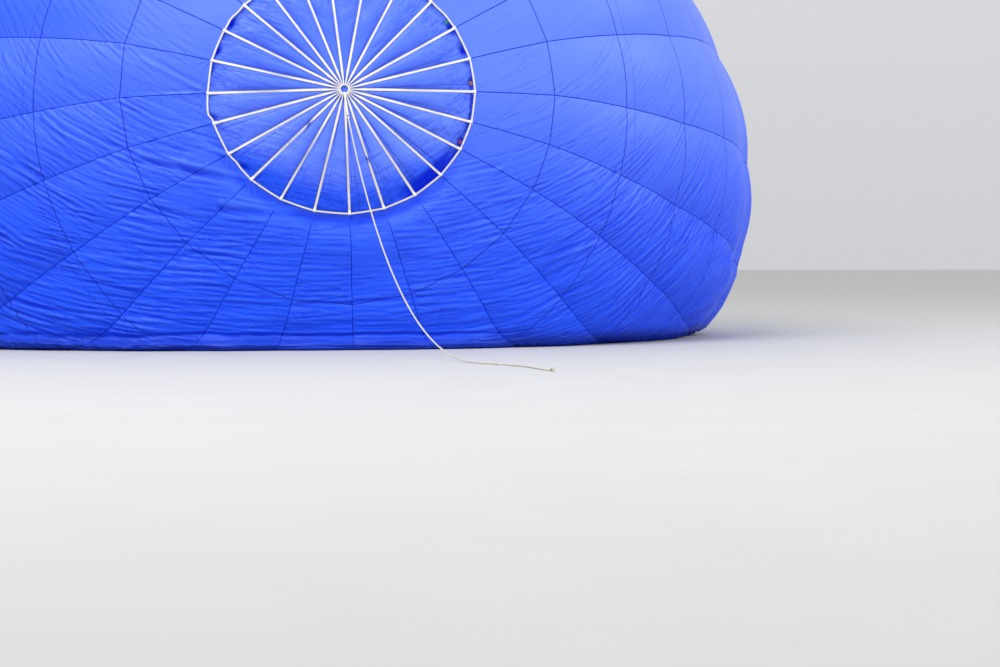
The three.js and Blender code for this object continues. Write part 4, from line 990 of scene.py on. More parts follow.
def crown_rope():
    route = line_route()
    dense = spline(route, 1320)
    v, f, uv = braided(dense, ROPE_R)
    ob = Parts().add(v, f, 0, uv).make("crown_rope", BODY_OF["crown_line"], [M_ROPE], sharp=70)
    finish_piece(ob, "crown_line")
    # a stopper knot in its end, with the whipped tail standing out
    end = dense[-1]; d = unit(dense[-1] - dense[-12]); side = np.array([-d[1], d[0], 0.0]); up = np.array([0, 0, 1.0])
    c = end + d * 0.046; c[2] = 0.031
    t = np.linspace(0, 2 * np.pi, 150, endpoint=False)
    lobe = np.stack([np.sin(t) + 2 * np.sin(2 * t), np.cos(t) - 2 * np.cos(2 * t), -np.sin(3 * t)], -1)
    knot = c + lobe[:, :1] * (0.0285 / 3) * d + lobe[:, 1:2] * (0.0215 / 3) * side + lobe[:, 2:] * 0.0165 * up
    b = Parts()
    A = np.linspace(0, 2 * np.pi, 12, endpoint=False)
    w = np.linspace(0, 2 * np.pi * 12, 150, endpoint=False)[:, None]
    R = 0.0108 * (0.95 + 0.05 * np.cos(4 * A[None, :]) * np.cos(w))
    v, f, uv = sweep(knot, np.stack([R * np.cos(A), R * np.sin(A)], -1), closed=True)
    b.add(v, f, 0, uv)
    v, f, uv = braided(spline([end - d * 0.004, end + d * 0.018 + up * 0.004, c + side * 0.006], 16), 0.0115, sides=12); b.add(v, f, 0, uv)
    tail = spline([c, c + d * 0.028 - side * 0.008, c + d * 0.052 - side * 0.016 - up * 0.012, c + d * 0.074 - side * 0.018 - up * 0.018], 30)
    v, f, uv = braided(tail, 0.0112, sides=12); b.add(v, f, 0, uv)
    whip = tail[-8:-1]
    for i in range(len(whip) - 1):
        v, f, uv = torus((whip[i] + whip[i + 1]) / 2, whip[i + 1] - whip[i], 0.0114, 0.0010, 20, 5); b.add(v, f, 1, uv)
    kn = b.make("crown_rope_knot", BODY_OF["crown_line_knot"], [M_ROPE, M_THREAD], sharp=70)
    finish_piece(kn, "crown_line_knot")
crown_rope()


# ------------------------------------------------------------------ envelope gores
def stepped(a, b, step):
    return np.linspace(a, b, max(2, int(round((b - a) / step)) + 1))

# how finely each gore is cut, by where it lies: [step along, end of the fine part, step in the next part, columns]
CUTS = {"top": (0.06, 8.0, 0.10, 24), "left": (0.0195, 7.1, 0.08, 36), "right": (0.0205, 9.2, 0.05, 36), "bottom": (0.019, 7.2, 0.08, 32)}

def cut_of(k):
    deg = math.degrees(SEAM_W[k] + SEAM_W[k + 1]) / 2 % 360
    if 22 < deg < 150:
        return "top"
    if 246 < deg < 296:
        return "bottom"
    return "left" if deg < 270 else "right"

def skewed(s, u, k, end):
    """moves the rows of one gore so that they run along its wrinkles"""
    w = SEAM_W[k + 1] - SEAM_W[k]
    mid = SEAM_W[k] + w / 2
    row = s[:, 0]
    pm = surface(row, mid, 0.15)
    phi = np.arctan(slope_at(pm[:, 0], pm[:, 2]))
    ang = phi - mid
    c = np.clip(np.cos(ang) / np.where(np.abs(np.sin(ang)) < 0.3, 0.3 * np.sign(np.sin(ang) + 1e-9), np.sin(ang)), -1.05, 1.05)
    c = np.convolve(np.pad(c, 30, mode="edge"), np.ones(61) / 61, mode="valid")
    ramp_w = smooth01(row, RIM_AT, RIM_AT + 1.9) * (1 - smooth01(row, end - 2.0, end))
    across = (u - 0.5) * (np.interp(row, _s, _r) * w)[:, None]
    return s + (c * ramp_w)[:, None] * across

def chordal(s, u, k):
    """the panel seams run straight from gore seam to gore seam, so their measure is a little larger at mid gore"""
    w = SEAM_W[k + 1] - SEAM_W[k]
    r = np.interp(s, _s, _r)
    return s + r * (np.cos((u - 0.5) * w) - np.cos(w / 2))

def gore_mesh(k):
    fine_s, end, mid_s, cols = CUTS[cut_of(k)]
    bands = [(stepped(RIM_AT, end, fine_s), cols), (stepped(end, 10.4, mid_s), cols // 2),
             (np.concatenate([stepped(10.4, 13.6, 0.08), stepped(13.6, MOUTH_AT, 0.18)[1:]]), cols // 4 if cols > 24 else cols // 2)]
    V, UV, LIE, DARK, F, n = [], [], [], [], [], 0
    last = None
    for (s, c) in bands:
        u = np.linspace(0, 1, c + 1)
        if last is not None:
            s = s[1:]                                       # the row before is the other band's last
        S, U = np.meshgrid(s, u, indexing="ij")
        if last is None and cut_of(k) != "top":
            S = skewed(S, U, k, end)
        A = SEAM_W[k] + (SEAM_W[k + 1] - SEAM_W[k]) * U
        P, D = place(S, A, k=np.full(S.shape, k), u=U, relief=True, till=end)
        h = hollows(D, float(s[1] - s[0]))
        DARK.append(np.stack([np.maximum(h, 0), np.maximum(-h, 0)], -1).reshape(-1, 2))
        width = np.interp(S, _s, _r) * (SEAM_W[k + 1] - SEAM_W[k])
        V.append(P.reshape(-1, 3)); UV.append(np.stack([(U - 0.5) * width + 3.0 * k, chordal(S, U, k)], -1).reshape(-1, 2))
        LX, LW = lie(surface(S, A, 0.12))
        LIE.append(np.stack([LX, LW + 0.37 * k], -1).reshape(-1, 2))
        quads = grid_faces(*S.shape, offset=n)
        F += [tuple(q) for q in quads]
        if last is not None:
            l0, m = last
            halved = m == 2 * c
            for j in range(c):
                a0, a1, a2, b0, b1 = l0 + 2 * j, l0 + 2 * j + 1, l0 + 2 * j + 2, n + j, n + j + 1
                F += [(a0, a1, b0), (a1, b1, b0), (a1, a2, b1)] if halved else []
            if not halved:
                F += [(l0 + j, l0 + j + 1, n + j + 1, n + j) for j in range(c)]
        last = (n + S.size - (c + 1), c)
        n += S.size
    return np.concatenate(V), F, np.concatenate(UV), np.concatenate(LIE), np.concatenate(DARK)

for k in range(GORES):
    V, F, UV, LIE, DARK = gore_mesh(k)
    ob = link(f"envelope_gore_{k + 1:02d}", V, F, "envelope", M_FABRIC)
    set_uv(ob, "cut", UV); set_uv(ob, "lie", LIE); set_uv(ob, "hollow", DARK)
    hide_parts(f"gore_{k + 1:02d}")

# felled seams with their load tapes, standing a little proud of the cloth
def seam_strips():
    V, F, UVs, n0 = [], [], [], 0
    for k in range(GORES):
        d = math.degrees(SEAM[k]) % 360
        hidden = 0.20 * float(smooth01(d, 205, 240) * (1 - smooth01(d, 300, 325)))    # the rolled rim covers its start
        s = np.concatenate([stepped(RIM_AT + 0.02 + hidden, 8.0, 0.045), stepped(8.0, 10.4, 0.06)[1:], stepped(10.4, 13.6, 0.08)[1:], stepped(13.6, MOUTH_AT, 0.18)[1:]])
        r = np.interp(s, _s, _r)
        half = 0.0100 / r
        offs = np.array([-1.0, 0.0, 1.0])
        lift = np.array([-0.002, 0.0026, -0.002])
        S, O = np.meshgrid(s, offs, indexing="ij")
        A = SEAM[k] + O * half[:, None]
        kk, uu = section_of(A)
        P = place(S, A, extra=np.broadcast_to(lift, S.shape) + 0.001, k=kk, u=np.clip(uu, 0, 1), detail=False, low=0.002)
        V.append(P.reshape(-1, 3)); F.append(grid_faces(*S.shape, offset=n0)); n0 += S.size
        UVs.append(np.stack([O * 0.011, S], -1).reshape(-1, 2))
    ob = link("gore_seam_tapes", np.concatenate(V), np.concatenate(F), "envelope", M_SEAM)
    set_uv(ob, "cut", np.concatenate(UVs))
seam_strips()

# ------------------------------------------------------------------ parachute vent panel
PARA_EDGE = 2.38

def own_seam(a):
    """the panel has seams of its own, a little round from the tapes: fraction across its own gore"""
    k, u = section_of(a - 0.055)
    return k, u

def para_point(s, a):
    s, a = np.broadcast_arrays(np.asarray(s, float), np.asarray(a, float))
    k, u = section_of(a)
    k2, u2 = own_seam(a)
    d = np.degrees(a) % 360
    wid = np.maximum(np.interp(s, _s, _r), 0.02) * (SEAM_W[k + 1] - SEAM_W[k])
    rim = smooth01(s, 1.55, 2.12)
    arch = (4 * u * (1 - u)) ** 0.75
    # pressed against the tapes, puffed out between them, drawn back behind the rim
    puff = 0.072 * smooth01(s, 0.15, 1.3) * (1 - 0.92 * rim) * arch
    puff = puff * (1 + 0.5 * noise(np.cos(a) * 2.0, np.sin(a) * 2.0 + s, 401))
    out = -0.006 - 0.015 * (1 - smooth01(s, 0.17, 0.32)) - 0.030 * smooth01(s, 1.9, 2.15) + puff
    out = out - tucked(s, a)
    # creases: slanting up to the right on the right half, down to the right on the left half
    X, Z = np.interp(s, _s, _r) * np.cos(a), np.interp(s, _s, _r) * np.sin(a)
    slope = np.where(X < 0, -0.35, 0.75)
    ac = (Z - slope * X) / np.sqrt(1 + slope ** 2); al = (X + slope * Z) / np.sqrt(1 + slope ** 2)
    m = smooth01(noise(X * 1.1 + 4, Z * 1.1, 402), -0.15, 0.3)
    out += (0.25 + m) * 0.0080 * ridge(noise(al / 0.5 + 3 * np.sign(X), ac / 0.075, 403)) * smooth01(s, 0.5, 1.1) * arch
    out += 0.020 * noise(al / 0.9, ac / 0.22, 404) * smooth01(s, 0.4, 1.0)
    # drawn-in line at its own seams, with small puckers between tape and seam near the bottom
    ds = np.minimum(u2, 1 - u2) * wid
    out -= 0.007 * np.exp(-(ds / 0.018) ** 2) * smooth01(s, 0.5, 1.0)
    bottom = smooth01(d, 215, 245) * (1 - smooth01(d, 300, 325))
    beside = np.exp(-((u * wid - 0.06) / 0.05) ** 2)
    out += (0.2 + bottom) * beside * 0.019 * noise(s / 0.05, k * 3.3, 405) * smooth01(s, 1.25, 1.65)
    # gathers fanning in from the tape ends
    for dist, side in ((u * wid, 1), ((1 - u) * wid, -1)):
        t = np.maximum(2.13 - s, 0)
        rho = np.hypot(dist, t) + 1e-4
        al2 = np.arctan2(dist, t + 1e-3)
        fan = noise(al2 * 6 + 5 * side + 2.1 * k, rho / 1.3, 406)
        out += 0.010 * ridge(fan) * smooth01(rho, 0.04, 0.2) * np.exp(-(rho / 0.4) ** 2) * smooth01(al2, 0.05, 0.2)
    # ragged edge gathers right at the rim
    out += 0.014 * noise(a * 2.15 / 0.09, s / 0.3, 407) * smooth01(s, 1.95, 2.12) * arch
    # each tape holds it down, so that it stays behind the tape's whole width
    out -= np.maximum(out + 0.004, 0) * np.exp(-(np.minimum(u, 1 - u) * wid / 0.034) ** 4)
    pull = 1 - 0.0050 * 4 * u * (1 - u) * smooth01(s, 1.0, 2.15)
    rolled = smooth01(d, 180, 235) * (1 - smooth01(d, 300, 345))
    out = np.where(s > 2.13, np.minimum(out, -0.022 - 0.075 * rolled * smooth01(s, 2.13, 2.20)), out)
    return surface(s, a, out, pull)

# where the vent's edge has slipped back from the rim: [angle, half width in degrees, depth, from how far inside the rim, to how far, squareness]
VENT_GAPS = [[-44, 16.5, 0.095, 0.25, 0.10, 3], [-8, 14, 0.045, 0.065, 0.02, 2], [150, 2.6, 0.09, 0.14, 0.03, 2], [163, 2.2, 0.08, 0.13, 0.03, 2], [30, 2.4, 0.09, 0.14, 0.03, 2],
             [19, 2.2, 0.08, 0.13, 0.03, 2], [4, 1.8, 0.06, 0.11, 0.03, 2], [122, 2.4, 0.06, 0.12, 0.03, 2], [172, 1.5, 0.05, 0.09, 0.02, 2],
             [192, 2.2, 0.06, 0.12, 0.03, 2], [-22, 1.8, 0.07, 0.12, 0.03, 2], [218, 3.0, 0.06, 0.13, 0.03, 2]]

def tucked(s, a):
    """how far the vent's edge has slipped back behind the rim"""
    d = np.degrees(a) % 360
    back = 0.0
    for (a0, hw, dep, near, full, square) in VENT_GAPS:
        da = (d - a0 + 180) % 360 - 180 + 1.5 * noise(s / 0.12, a0 * 0.7, 411)
        back = back + dep * np.exp(-np.abs(da / hw) ** square) * smooth01(s + 0.02 * noise(d / 5.0, a0 * 0.3, 412), RIM_AT - near, RIM_AT - full)
    return back

def parachute():
    s = np.concatenate([[0.0], np.linspace(0.03, 1.2, 26), np.linspace(1.2, 2.15, 50)[1:], np.linspace(2.15, PARA_EDGE, 5)[1:]])
    per = 18
    a = np.concatenate([SEAM_W[k] + (SEAM_W[k + 1] - SEAM_W[k]) * np.linspace(0, 1, per, endpoint=False) for k in range(GORES)])
    S, A = np.meshgrid(s[1:], a, indexing="ij")
    P = para_point(S, A)
    centre = surface(0.0, 0.0, -0.021)
    V = np.concatenate([[centre], P.reshape(-1, 3)])
    m = len(a)
    F = [(0, 1 + (j + 1) % m, 1 + j) for j in range(m)] + [tuple(q) for q in grid_faces(S.shape[0], m, wrap=True, offset=1)]
    ob = link("parachute_vent", V, F, "parachute_valve", M_PARA)
    X, Z = np.interp(S, _s, _r) * np.cos(A), np.interp(S, _s, _r) * np.sin(A)
    k2, u2 = own_seam(A)
    wid = np.maximum(np.interp(S, _s, _r), 0.02) * (SEAM_W[k2 + 1] - SEAM_W[k2])
    set_uv(ob, "cut", np.concatenate([[[0, 0]], np.stack([X, Z], -1).reshape(-1, 2)]))
    set_uv(ob, "seam", np.concatenate([[[1, 0]], np.stack([np.minimum(u2, 1 - u2) * wid, S], -1).reshape(-1, 2)]))
    # along and across its creases: down to the right on the left half, up to the right on the right half
    tilt = math.radians(-19) + math.radians(58) * smooth01(X, -0.7, 0.7)
    set_uv(ob, "lie", np.concatenate([[[0, 0]], np.stack([X * np.cos(tilt) + Z * np.sin(tilt), Z * np.cos(tilt) - X * np.sin(tilt)], -1).reshape(-1, 2)]))
    dark = smooth01(tucked(S, A), 0.012, 0.085)
    set_uv(ob, "tucked", np.concatenate([[[0, 0]], np.stack([dark, S], -1).reshape(-1, 2)]))
    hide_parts("parachute_panel")
parachute()

# colour-coded tabs that hold the vent's edge: [angle, colour]
TABS = [[34, 0], [4, 1], [-23, 2]]
def vent_tabs():
    b = Parts()
    for (deg, which) in TABS:
        a = math.radians(deg)
        for lay in range(2):
            rows, cols = 7, 5
            s = np.linspace(2.062 - 0.008 * lay, 2.112, rows); w = np.linspace(-1, 1, cols) * (0.019 - 0.003 * lay) / 2.1 + a + 0.012 * lay
            S, A = np.meshgrid(s, w, indexing="ij")
            v = surface(S, A, 0.010 + 0.012 * lay + 0.014 * np.sin((S - 2.035) * 26 + lay * 2) + 0.006 * np.sin(A * 90))
            b.add(v, [tuple(q) for q in grid_faces(rows, cols)], which, np.stack([A * 2.1, S], -1))
    ob = b.make("vent_edge_tabs", "parachute_valve", [M_TAB_GREEN, M_TAB_ORANGE, M_TAB_RED])
vent_tabs()

# ------------------------------------------------------------------ the vent's rim and the radial tapes
def vent_rim():
    b = Parts()
    per = 26
    a = np.concatenate([SEAM_W[k] + (SEAM_W[k + 1] - SEAM_W[k]) * np.linspace(0, 1, per, endpoint=False) for k in range(GORES)])
    k, u = section_of(a)
    arch = 4 * u * (1 - u)
    pull = 1 - 0.0050 * arch
    wob = 0.004 * noise(a * 9, 0.5, 501) + 0.003 * noise(a * 31, 0.5, 502)
    # section: [distance inwards from the rim, out], a flat band turned over a cord at its edge
    sec = [(-0.023, 0.000), (-0.022, 0.006), (-0.016, 0.0085), (-0.009, 0.0075), (-0.003, 0.012), (0.003, 0.0125), (0.007, 0.008),
           (0.008, 0.000), (0.005, -0.006), (-0.006, -0.008), (-0.015, -0.006), (-0.022, -0.005)]
    pts = []
    for (ds, out) in sec:
        roll = 0.012 * noise(a * 5, 1.5, 503)
        pts.append(surface(RIM_AT + 0.012 + ds, a, out + wob + roll * (ds + 0.02) * 8, pull))
    P = np.stack(pts, 1)
    n, m = P.shape[:2]
    f = []
    for i in range(n):
        for j in range(m):
            f.append((i * m + j, i * m + (j + 1) % m, ((i + 1) % n) * m + (j + 1) % m, ((i + 1) % n) * m + j))
    uv = np.stack(np.broadcast_arrays(np.array([ds + 0.0075 for (ds, _) in sec])[None, :], (a * 2.15)[:, None]), -1)
    b.add(P, f, 0, uv)
    # two rows of stitches along the band
    for row, off in enumerate((-0.0195, -0.0115)):
        cnt = 900
        for i in range(0, cnt):
            aa = 2 * math.pi * i / cnt
            kk, uu = section_of(np.array(aa)); pl = 1 - 0.0050 * 4 * uu * (1 - uu)
            w = 0.004 * float(noise(aa * 9, 0.5, 501)) + 0.003 * float(noise(aa * 31, 0.5, 502))
            p0, p1 = (surface(RIM_AT + 0.012 + off, aa + e, 0.0093 + w, pl) for e in (0, 0.0042))
            side = unit(surface(RIM_AT + 0.05, aa) - surface(RIM_AT, aa)) * 0.0012
            b.add([p0 - side, p0 + side, p1 + side, p1 - side], [(0, 1, 2, 3)], 1)
    ob = b.make("vent_rim", "envelope", [M_RIM, M_THREAD], sharp=50)
    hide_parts("vent_rim_tape")
vent_rim()

RING_C = np.array([0.0, CROWN_Y, CROWN_Z])
# a half turn in a tape: [tape, where along it in metres]
TURNS = {15: 0.85, 19: 1.30}
def radial_tapes():
    b = Parts()
    rng = np.random.default_rng(77)
    for k in range(GORES):
        a = SEAM[k]
        w0 = 0.0400 * rng.uniform(0.95, 1.05)
        ph, tw = rng.uniform(0, 6.28), rng.uniform(-0.2, 0.2)
        s = np.concatenate([np.linspace(0.082, 0.3, 9), np.linspace(0.3, 1.9, 56)[1:], np.linspace(1.9, RIM_AT + 0.004, 12)[1:]])
        mid = surface(s, a, 0.0055)
        tan = unit(np.gradient(mid, axis=0))
        nor = unit(surface(s, a, 0.1) - surface(s, a, 0.0))
        sid = np.cross(tan, nor)
        twist = tw * np.sin(s * 2.3 + ph) * smooth01(s, 0.15, 0.5) * (1 - smooth01(s, 1.8, 2.12)) + 0.12 * noise(s * 3, k * 2.7, 510) * smooth01(s, 0.2, 0.5)
        if k in TURNS:
            twist = twist + math.pi * smooth01(s, TURNS[k] - 0.16, TURNS[k] + 0.16)
            mid = mid + nor * (0.011 * np.exp(-((s - TURNS[k]) / 0.10) ** 2))[:, None]
        # folded double toward the ring, so that neighbours stay apart
        w = w0 * (0.42 + 0.58 * smooth01(s, 0.11, 0.36)) * (1 + 0.05 * noise(s * 6, k * 1.3, 511))
        # crown of each tape over its neighbours where they merge
        lift = 0.0035 * (1 - smooth01(s, 0.10, 0.26)) * (k % 3) + 0.0045 * (1 - smooth01(s, 0.08, 0.2))
        cols = np.linspace(-0.5, 0.5, 3)
        th = 0.0013
        rows = []
        for sign in (1, -1):
            for c in (cols if sign > 0 else cols[::-1]):
                cup = 0.0012 * (1 - (2 * c) ** 2)
                x = c * w; h = lift + cup + sign * th
                rows.append(mid + (x * np.cos(twist) - h * np.sin(twist))[:, None] * sid + (x * np.sin(twist) + h * np.cos(twist))[:, None] * nor)
        P = np.stack(rows, 1)
        n, m = P.shape[:2]
        f = [tuple(q) for q in grid_faces(n, m, wrap=True)] + [tuple(range(m))[::-1], tuple((n - 1) * m + j for j in range(m))]
        cu = np.concatenate([cols, cols[::-1]]) * w0
        uv = np.stack(np.broadcast_arrays(cu[None, :], s[:, None]), -1)
        b.add(P, f, 0, uv)
        # the loop round the ring, sewn back on itself
        er = np.array([math.cos(a), 0, math.sin(a)]); et = np.array([-math.sin(a), 0, math.cos(a)]); ey = np.array([0, 1.0, 0])
        c0 = RING_C + er * 0.0745
        # its ends run out along the tape
        loop = [RING_C + er * 0.158 + ey * -0.008] + [RING_C + er * 0.105 + ey * -0.013] + [c0 + er * -(0.0155 * math.sin(q)) - ey * (0.0155 * math.cos(q)) for q in np.linspace(0.15, math.pi - 0.15, 12)] + [RING_C + er * 0.105 + ey * 0.012] + [RING_C + er * 0.145 + ey * 0.004]
        loop = np.array(loop)
        sec = rounded(w0 * 0.40, 0.0026, 0.0012, 1)
        v, f, uv = sweep(loop, sec, up=et)
        b.add(v, f, 2, uv)
        # box stitches at the ring end and at the rim
        for (s0, s1, lines) in ((0.37, 0.49, 5), (2.02, 2.11, 4)):
            for q in range(lines):
                x = (-0.4 + 0.8 * q / (lines - 1)) * w0
                for i in range(14):
                    sa = s0 + (s1 - s0) * i / 14; sb = sa + (s1 - s0) / 14 * 0.6
                    tws = lambda z: (float(np.interp(z, s, twist)) + math.pi / 2) % math.pi - math.pi / 2; lf = lambda z: float(np.interp(z, s, lift))
                    pts = []
                    for z in (sa, sb):
                        mz = surface(z, a, 0.0055); tz = tws(z); h = lf(z) + 0.0029
                        nz = unit(surface(z, a, 0.1) - surface(z, a, 0.0)); sz = np.array([np.interp(z, s, sid[:, j]) for j in range(3)])
                        for e in (-0.0006, 0.0006):
                            xx = x + e
                            pts.append(mz + (xx * math.cos(tz) - h * math.sin(tz)) * sz + (xx * math.sin(tz) + h * math.cos(tz)) * nz)
                    b.add([pts[0], pts[1], pts[3], pts[2]], [(0, 1, 2, 3)], 1)
        # its end folded over the rim band
        e0 = surface(RIM_AT + 0.004, a, 0.018); pts = []
        for (ds, out) in ((-0.05, 0.0085), (-0.018, 0.0125), (0.004, 0.0165), (0.018, 0.0150), (0.0235, 0.007), (0.022, -0.004), (0.010, -0.011), (-0.02, -0.011)):
            pts.append(surface(RIM_AT + ds, a, out))
        v, f, uv = sweep(spline(pts, 18), rounded(w0 * 1.02, 0.0026, 0.0012, 1), up=np.array([-math.sin(a), 0, math.cos(a)]))
        b.add(v, f, 2, uv)
    ob = b.make("radial_tapes", "envelope", [M_TAPE, M_THREAD, M_WHITE], sharp=50)
    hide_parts("crown_tapes")
radial_tapes()

def crown_ring():
    v, f, uv = torus(RING_C, (0, 1, 0), 0.0745, 0.0105, 96, 16)
    b = Parts().add(v, f, 0, uv)
    ob = b.make("crown_ring_forged", "envelope", [M_ALLOY])
    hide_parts("crown_ring")
crown_ring()

# ------------------------------------------------------------------ strop from the ring and the shackle that carries the line
def belt(c0, r0, c1, r1, side, n=14):
    """path of a band round two pins: c0 and c1 with their radii, side is along the pins"""
    d = unit(c1 - c0); q = unit(np.cross(side, d))
    top = [c0 + r0 * (math.cos(a) * q - math.sin(a) * d) for a in np.linspace(0, math.pi, n)]
    low = [c1 + r1 * (-math.cos(a) * q + math.sin(a) * d) for a in np.linspace(0, math.pi, n)]
    legs = lambda a, b: [a + (b - a) * x for x in np.linspace(0.06, 0.94, 14)]
    return np.array(top + legs(top[-1], low[0]) + low + legs(low[-1], top[0]))

def strop_and_shackle():
    ring_low = np.array([0.0, CROWN_Y, CROWN_Z - 0.062])
    pin = np.array([0.049, -6.641, 3.793])
    d = unit(pin - ring_low); side = unit(np.cross(d, [0, -1.0, 0]))
    path = belt(ring_low, 0.0165, pin, 0.0085, side)
    b = Parts()
    v, f, uv = sweep(path, rounded(0.027, 0.0034, 0.0014, 2), closed=True, up=side); b.add(v, f, 0, uv)
    # sewn together below the ring and above the shackle
    for c in (ring_low + d * 0.060, pin - d * 0.048):
        sec = rounded(0.0285, 0.0135, 0.003, 2)
        v, f, uv = sweep([c - d * 0.026, c - d * 0.024, c + d * 0.024, c + d * 0.026], sec, up=side, scale=[0.9, 1, 1, 0.9]); b.add(v, f, 0, uv)
        for row in np.linspace(-0.010, 0.010, 4):
            for i in range(12):
                p = c + side * row + d * (-0.021 + 0.0036 * i)
                for s in (-1, 1):
                    o = p + unit(np.cross(side, d)) * s * 0.0069
                    b.add([o - side * 0.0006, o + side * 0.0006, o + side * 0.0006 + d * 0.0024, o - side * 0.0006 + d * 0.0024], [(0, 1, 2, 3)], 1)
    ob = b.make("crown_strop_sewn", "envelope", [M_WHITE, M_THREAD], sharp=50)
    finish_piece(ob, "crown_strop")
    # bow shackle: pin through two eyes, the rope's spliced eye in the bow
    b = Parts()
    v, f, uv = sweep([pin - side * 0.024, pin - side * 0.0232, pin + side * 0.0232, pin + side * 0.024], circle(0.0052, 16), scale=[0.85, 1, 1, 0.85]); b.add(v, f, 0, uv)
    for s in (-1, 1):
        v, f, uv = lathe([[0, 0], [0.0085, 0], [0.0095, 0.001], [0.0095, 0.0045], [0.0085, 0.0055], [0, 0.0055]], pin + side * s * 0.0165, side * s, 24); b.add(v, f, 0, uv)
    v, f, uv = lathe([[0, 0], [0.0065, 0], [0.0070, 0.001], [0.0070, 0.006], [0.006, 0.0068], [0, 0.0068]], pin + side * 0.0225, side, 6); b.add(v, f, 0, uv)
    bowpts = [pin + side * (0.0195 * math.cos(q) * (1 + 0.10 * math.sin(q))) + d * (0.034 * math.sin(q)) for q in np.linspace(0, math.pi, 28)]
    v, f, uv = sweep(bowpts, circle(0.0050, 14)); b.add(v, f, 0, uv)
    # the eye: rope round a thimble, and its neck running into the line
    eye_c = pin + d * 0.040; away = unit(np.array([HEADING[0], HEADING[1], -2.2]))
    eye = [eye_c + side * (0.0125 * math.sin(q)) + away * (0.0125 * (1 - math.cos(q)) - 0.006) for q in np.linspace(0, 2 * np.pi, 36, endpoint=False)]
    v, f, uv = sweep(eye, circle(0.0078, 12), closed=True); b.add(v, f, 1, uv)
    v, f, uv = sweep([p + (eye_c - p) * 0.42 for p in eye], circle(0.0030, 8), closed=True); b.add(v, f, 0, uv)
    neck = [eye_c + away * 0.016, (eye_c + away * 0.016 + LINE_TOP) / 2, LINE_TOP + (LINE_TOP - eye_c) * 0.02]
    v, f, uv = braided(spline(neck, 12), 0.0125, sides=14); b.add(v, f, 1, uv)
    ob = b.make("crown_shackle_forged", "envelope", [M_STEEL, M_ROPE], sharp=50)
    finish_piece(ob, "crown_shackle")
strop_and_shackle()

# ------------------------------------------------------------------ mouth: a rolled hem of heat-resistant cloth, with a sewn loop at each gore seam
def mouth_hem():
    b = Parts()
    per = 16
    a = np.concatenate([SEAM_W[k] + (SEAM_W[k + 1] - SEAM_W[k]) * np.linspace(0, 1, per, endpoint=False) for k in range(GORES)])
    S = MOUTH_AT + np.array([-0.012, 0.004, 0.030, 0.055, 0.066, 0.071, 0.064, 0.046, 0.020, 0.002])
    out = np.array([0.003, 0.0065, 0.0050, 0.0085, 0.0070, -0.002, -0.0095, -0.0080, -0.0105, -0.006])
    P = []
    for s, o in zip(S, out):
        ripple = 0.004 * noise(a * 2.3 / 0.16, s * 6, 601) * smooth01(s, MOUTH_AT, MOUTH_AT + 0.05)
        q = surface(np.full(len(a), s), a, o + ripple)
        q = grounded(q, 0.008 + 0.4 * (o + 0.012))
        P.append(q)
    P = np.stack(P, 1)
    n, m = P.shape[:2]
    f = [(i * m + j, i * m + (j + 1) % m, ((i + 1) % n) * m + (j + 1) % m, ((i + 1) % n) * m + j) for i in range(n) for j in range(m)]
    uv = np.stack(np.broadcast_arrays(np.linspace(0, 0.17, m)[None, :], (a * 2.3)[:, None]), -1)
    b.add(P, f, 0, uv)
    for k in range(GORES):
        p0 = grounded(surface(MOUTH_AT - 0.10, SEAM[k], 0.012), 0.016); p1 = grounded(surface(MOUTH_AT + 0.066, SEAM[k], 0.012), 0.016)
        ax = unit(p1 - p0); tan = unit(surface(MOUTH_AT, SEAM[k] + 0.02) - surface(MOUTH_AT, SEAM[k] - 0.02)); nrm = unit(np.cross(ax, tan))
        if np.dot(nrm, p0 - np.array([0, p0[1], RIG_Z])) < 0:
            nrm = -nrm
        pts = [p0, p0 + ax * 0.08 + nrm * 0.001, p1 + nrm * 0.002, p1 + ax * 0.016 + nrm * 0.001, p1 + ax * 0.022 - nrm * 0.008, p1 + ax * 0.012 - nrm * 0.017, p1 - ax * 0.010 - nrm * 0.019]
        pts = np.array(pts); pts[:, 2] = np.maximum(pts[:, 2], 0.004)
        v, f, uv = sweep(spline(pts, 24), rounded(0.026, 0.003, 0.0013, 1), up=tan); b.add(v, f, 1, uv)
    ob = b.make("mouth_hem", "envelope", [M_DARK, M_WHITE], sharp=50)
    finish_piece(ob, "mouth_band")
mouth_hem()

# ------------------------------------------------------------------ flying wires: four fans of six, mouth to load frame
FRAME_X, FRAME_Z, FRAME_R = 0.500, 0.400, 0.017
GIMBAL_X, GIMBAL_Z, GIMBAL_R = 0.335, 0.245, 0.012
CAN_X, CAN_R, CAN_L = 0.155, 0.140, 0.380
FANS = [[1, 1, 0], [-1, 1, 6], [-1, -1, 12], [1, -1, 18]]        # [x side, z side, first gore seam]
CORNERS = ["upper_right", "upper_left", "lower_left", "lower_right"]
X3, Y3, Z3 = np.eye(3)
rig = lambda x, z, y=0.0: np.array([x, FRAME_Y + y, RIG_Z + z])

def rod(b, p, q, r, n=16, mat=0, chamfer=None):
    """turned bar between two points with softened ends"""
    p, q = np.asarray(p, float), np.asarray(q, float)
    L = float(np.linalg.norm(q - p)); c = chamfer if chamfer is not None else min(0.0015, r * 0.2)
    v, f, uv = lathe([[0, 0], [r - c, 0], [r, c], [r, L - c], [r - c, L], [0, L]], p, q - p, n)
    b.add(v, f, mat, uv)

def bolt(b, p, axis, r=0.007, h=0.005, mat=0):
    """hexagon head on a washer"""
    p, axis = np.asarray(p, float), unit(np.asarray(axis, float))
    v, f, uv = lathe([[0, 0], [r * 1.5, 0], [r * 1.5, 0.0012], [0, 0.0012]], p, axis, 18); b.add(v, f, mat, uv)
    v, f, uv = lathe([[0, 0.0012], [r, 0.0012], [r, h], [r * 0.86, h + 0.0008], [0, h + 0.0008]], p, axis, 6); b.add(v, f, mat, uv)

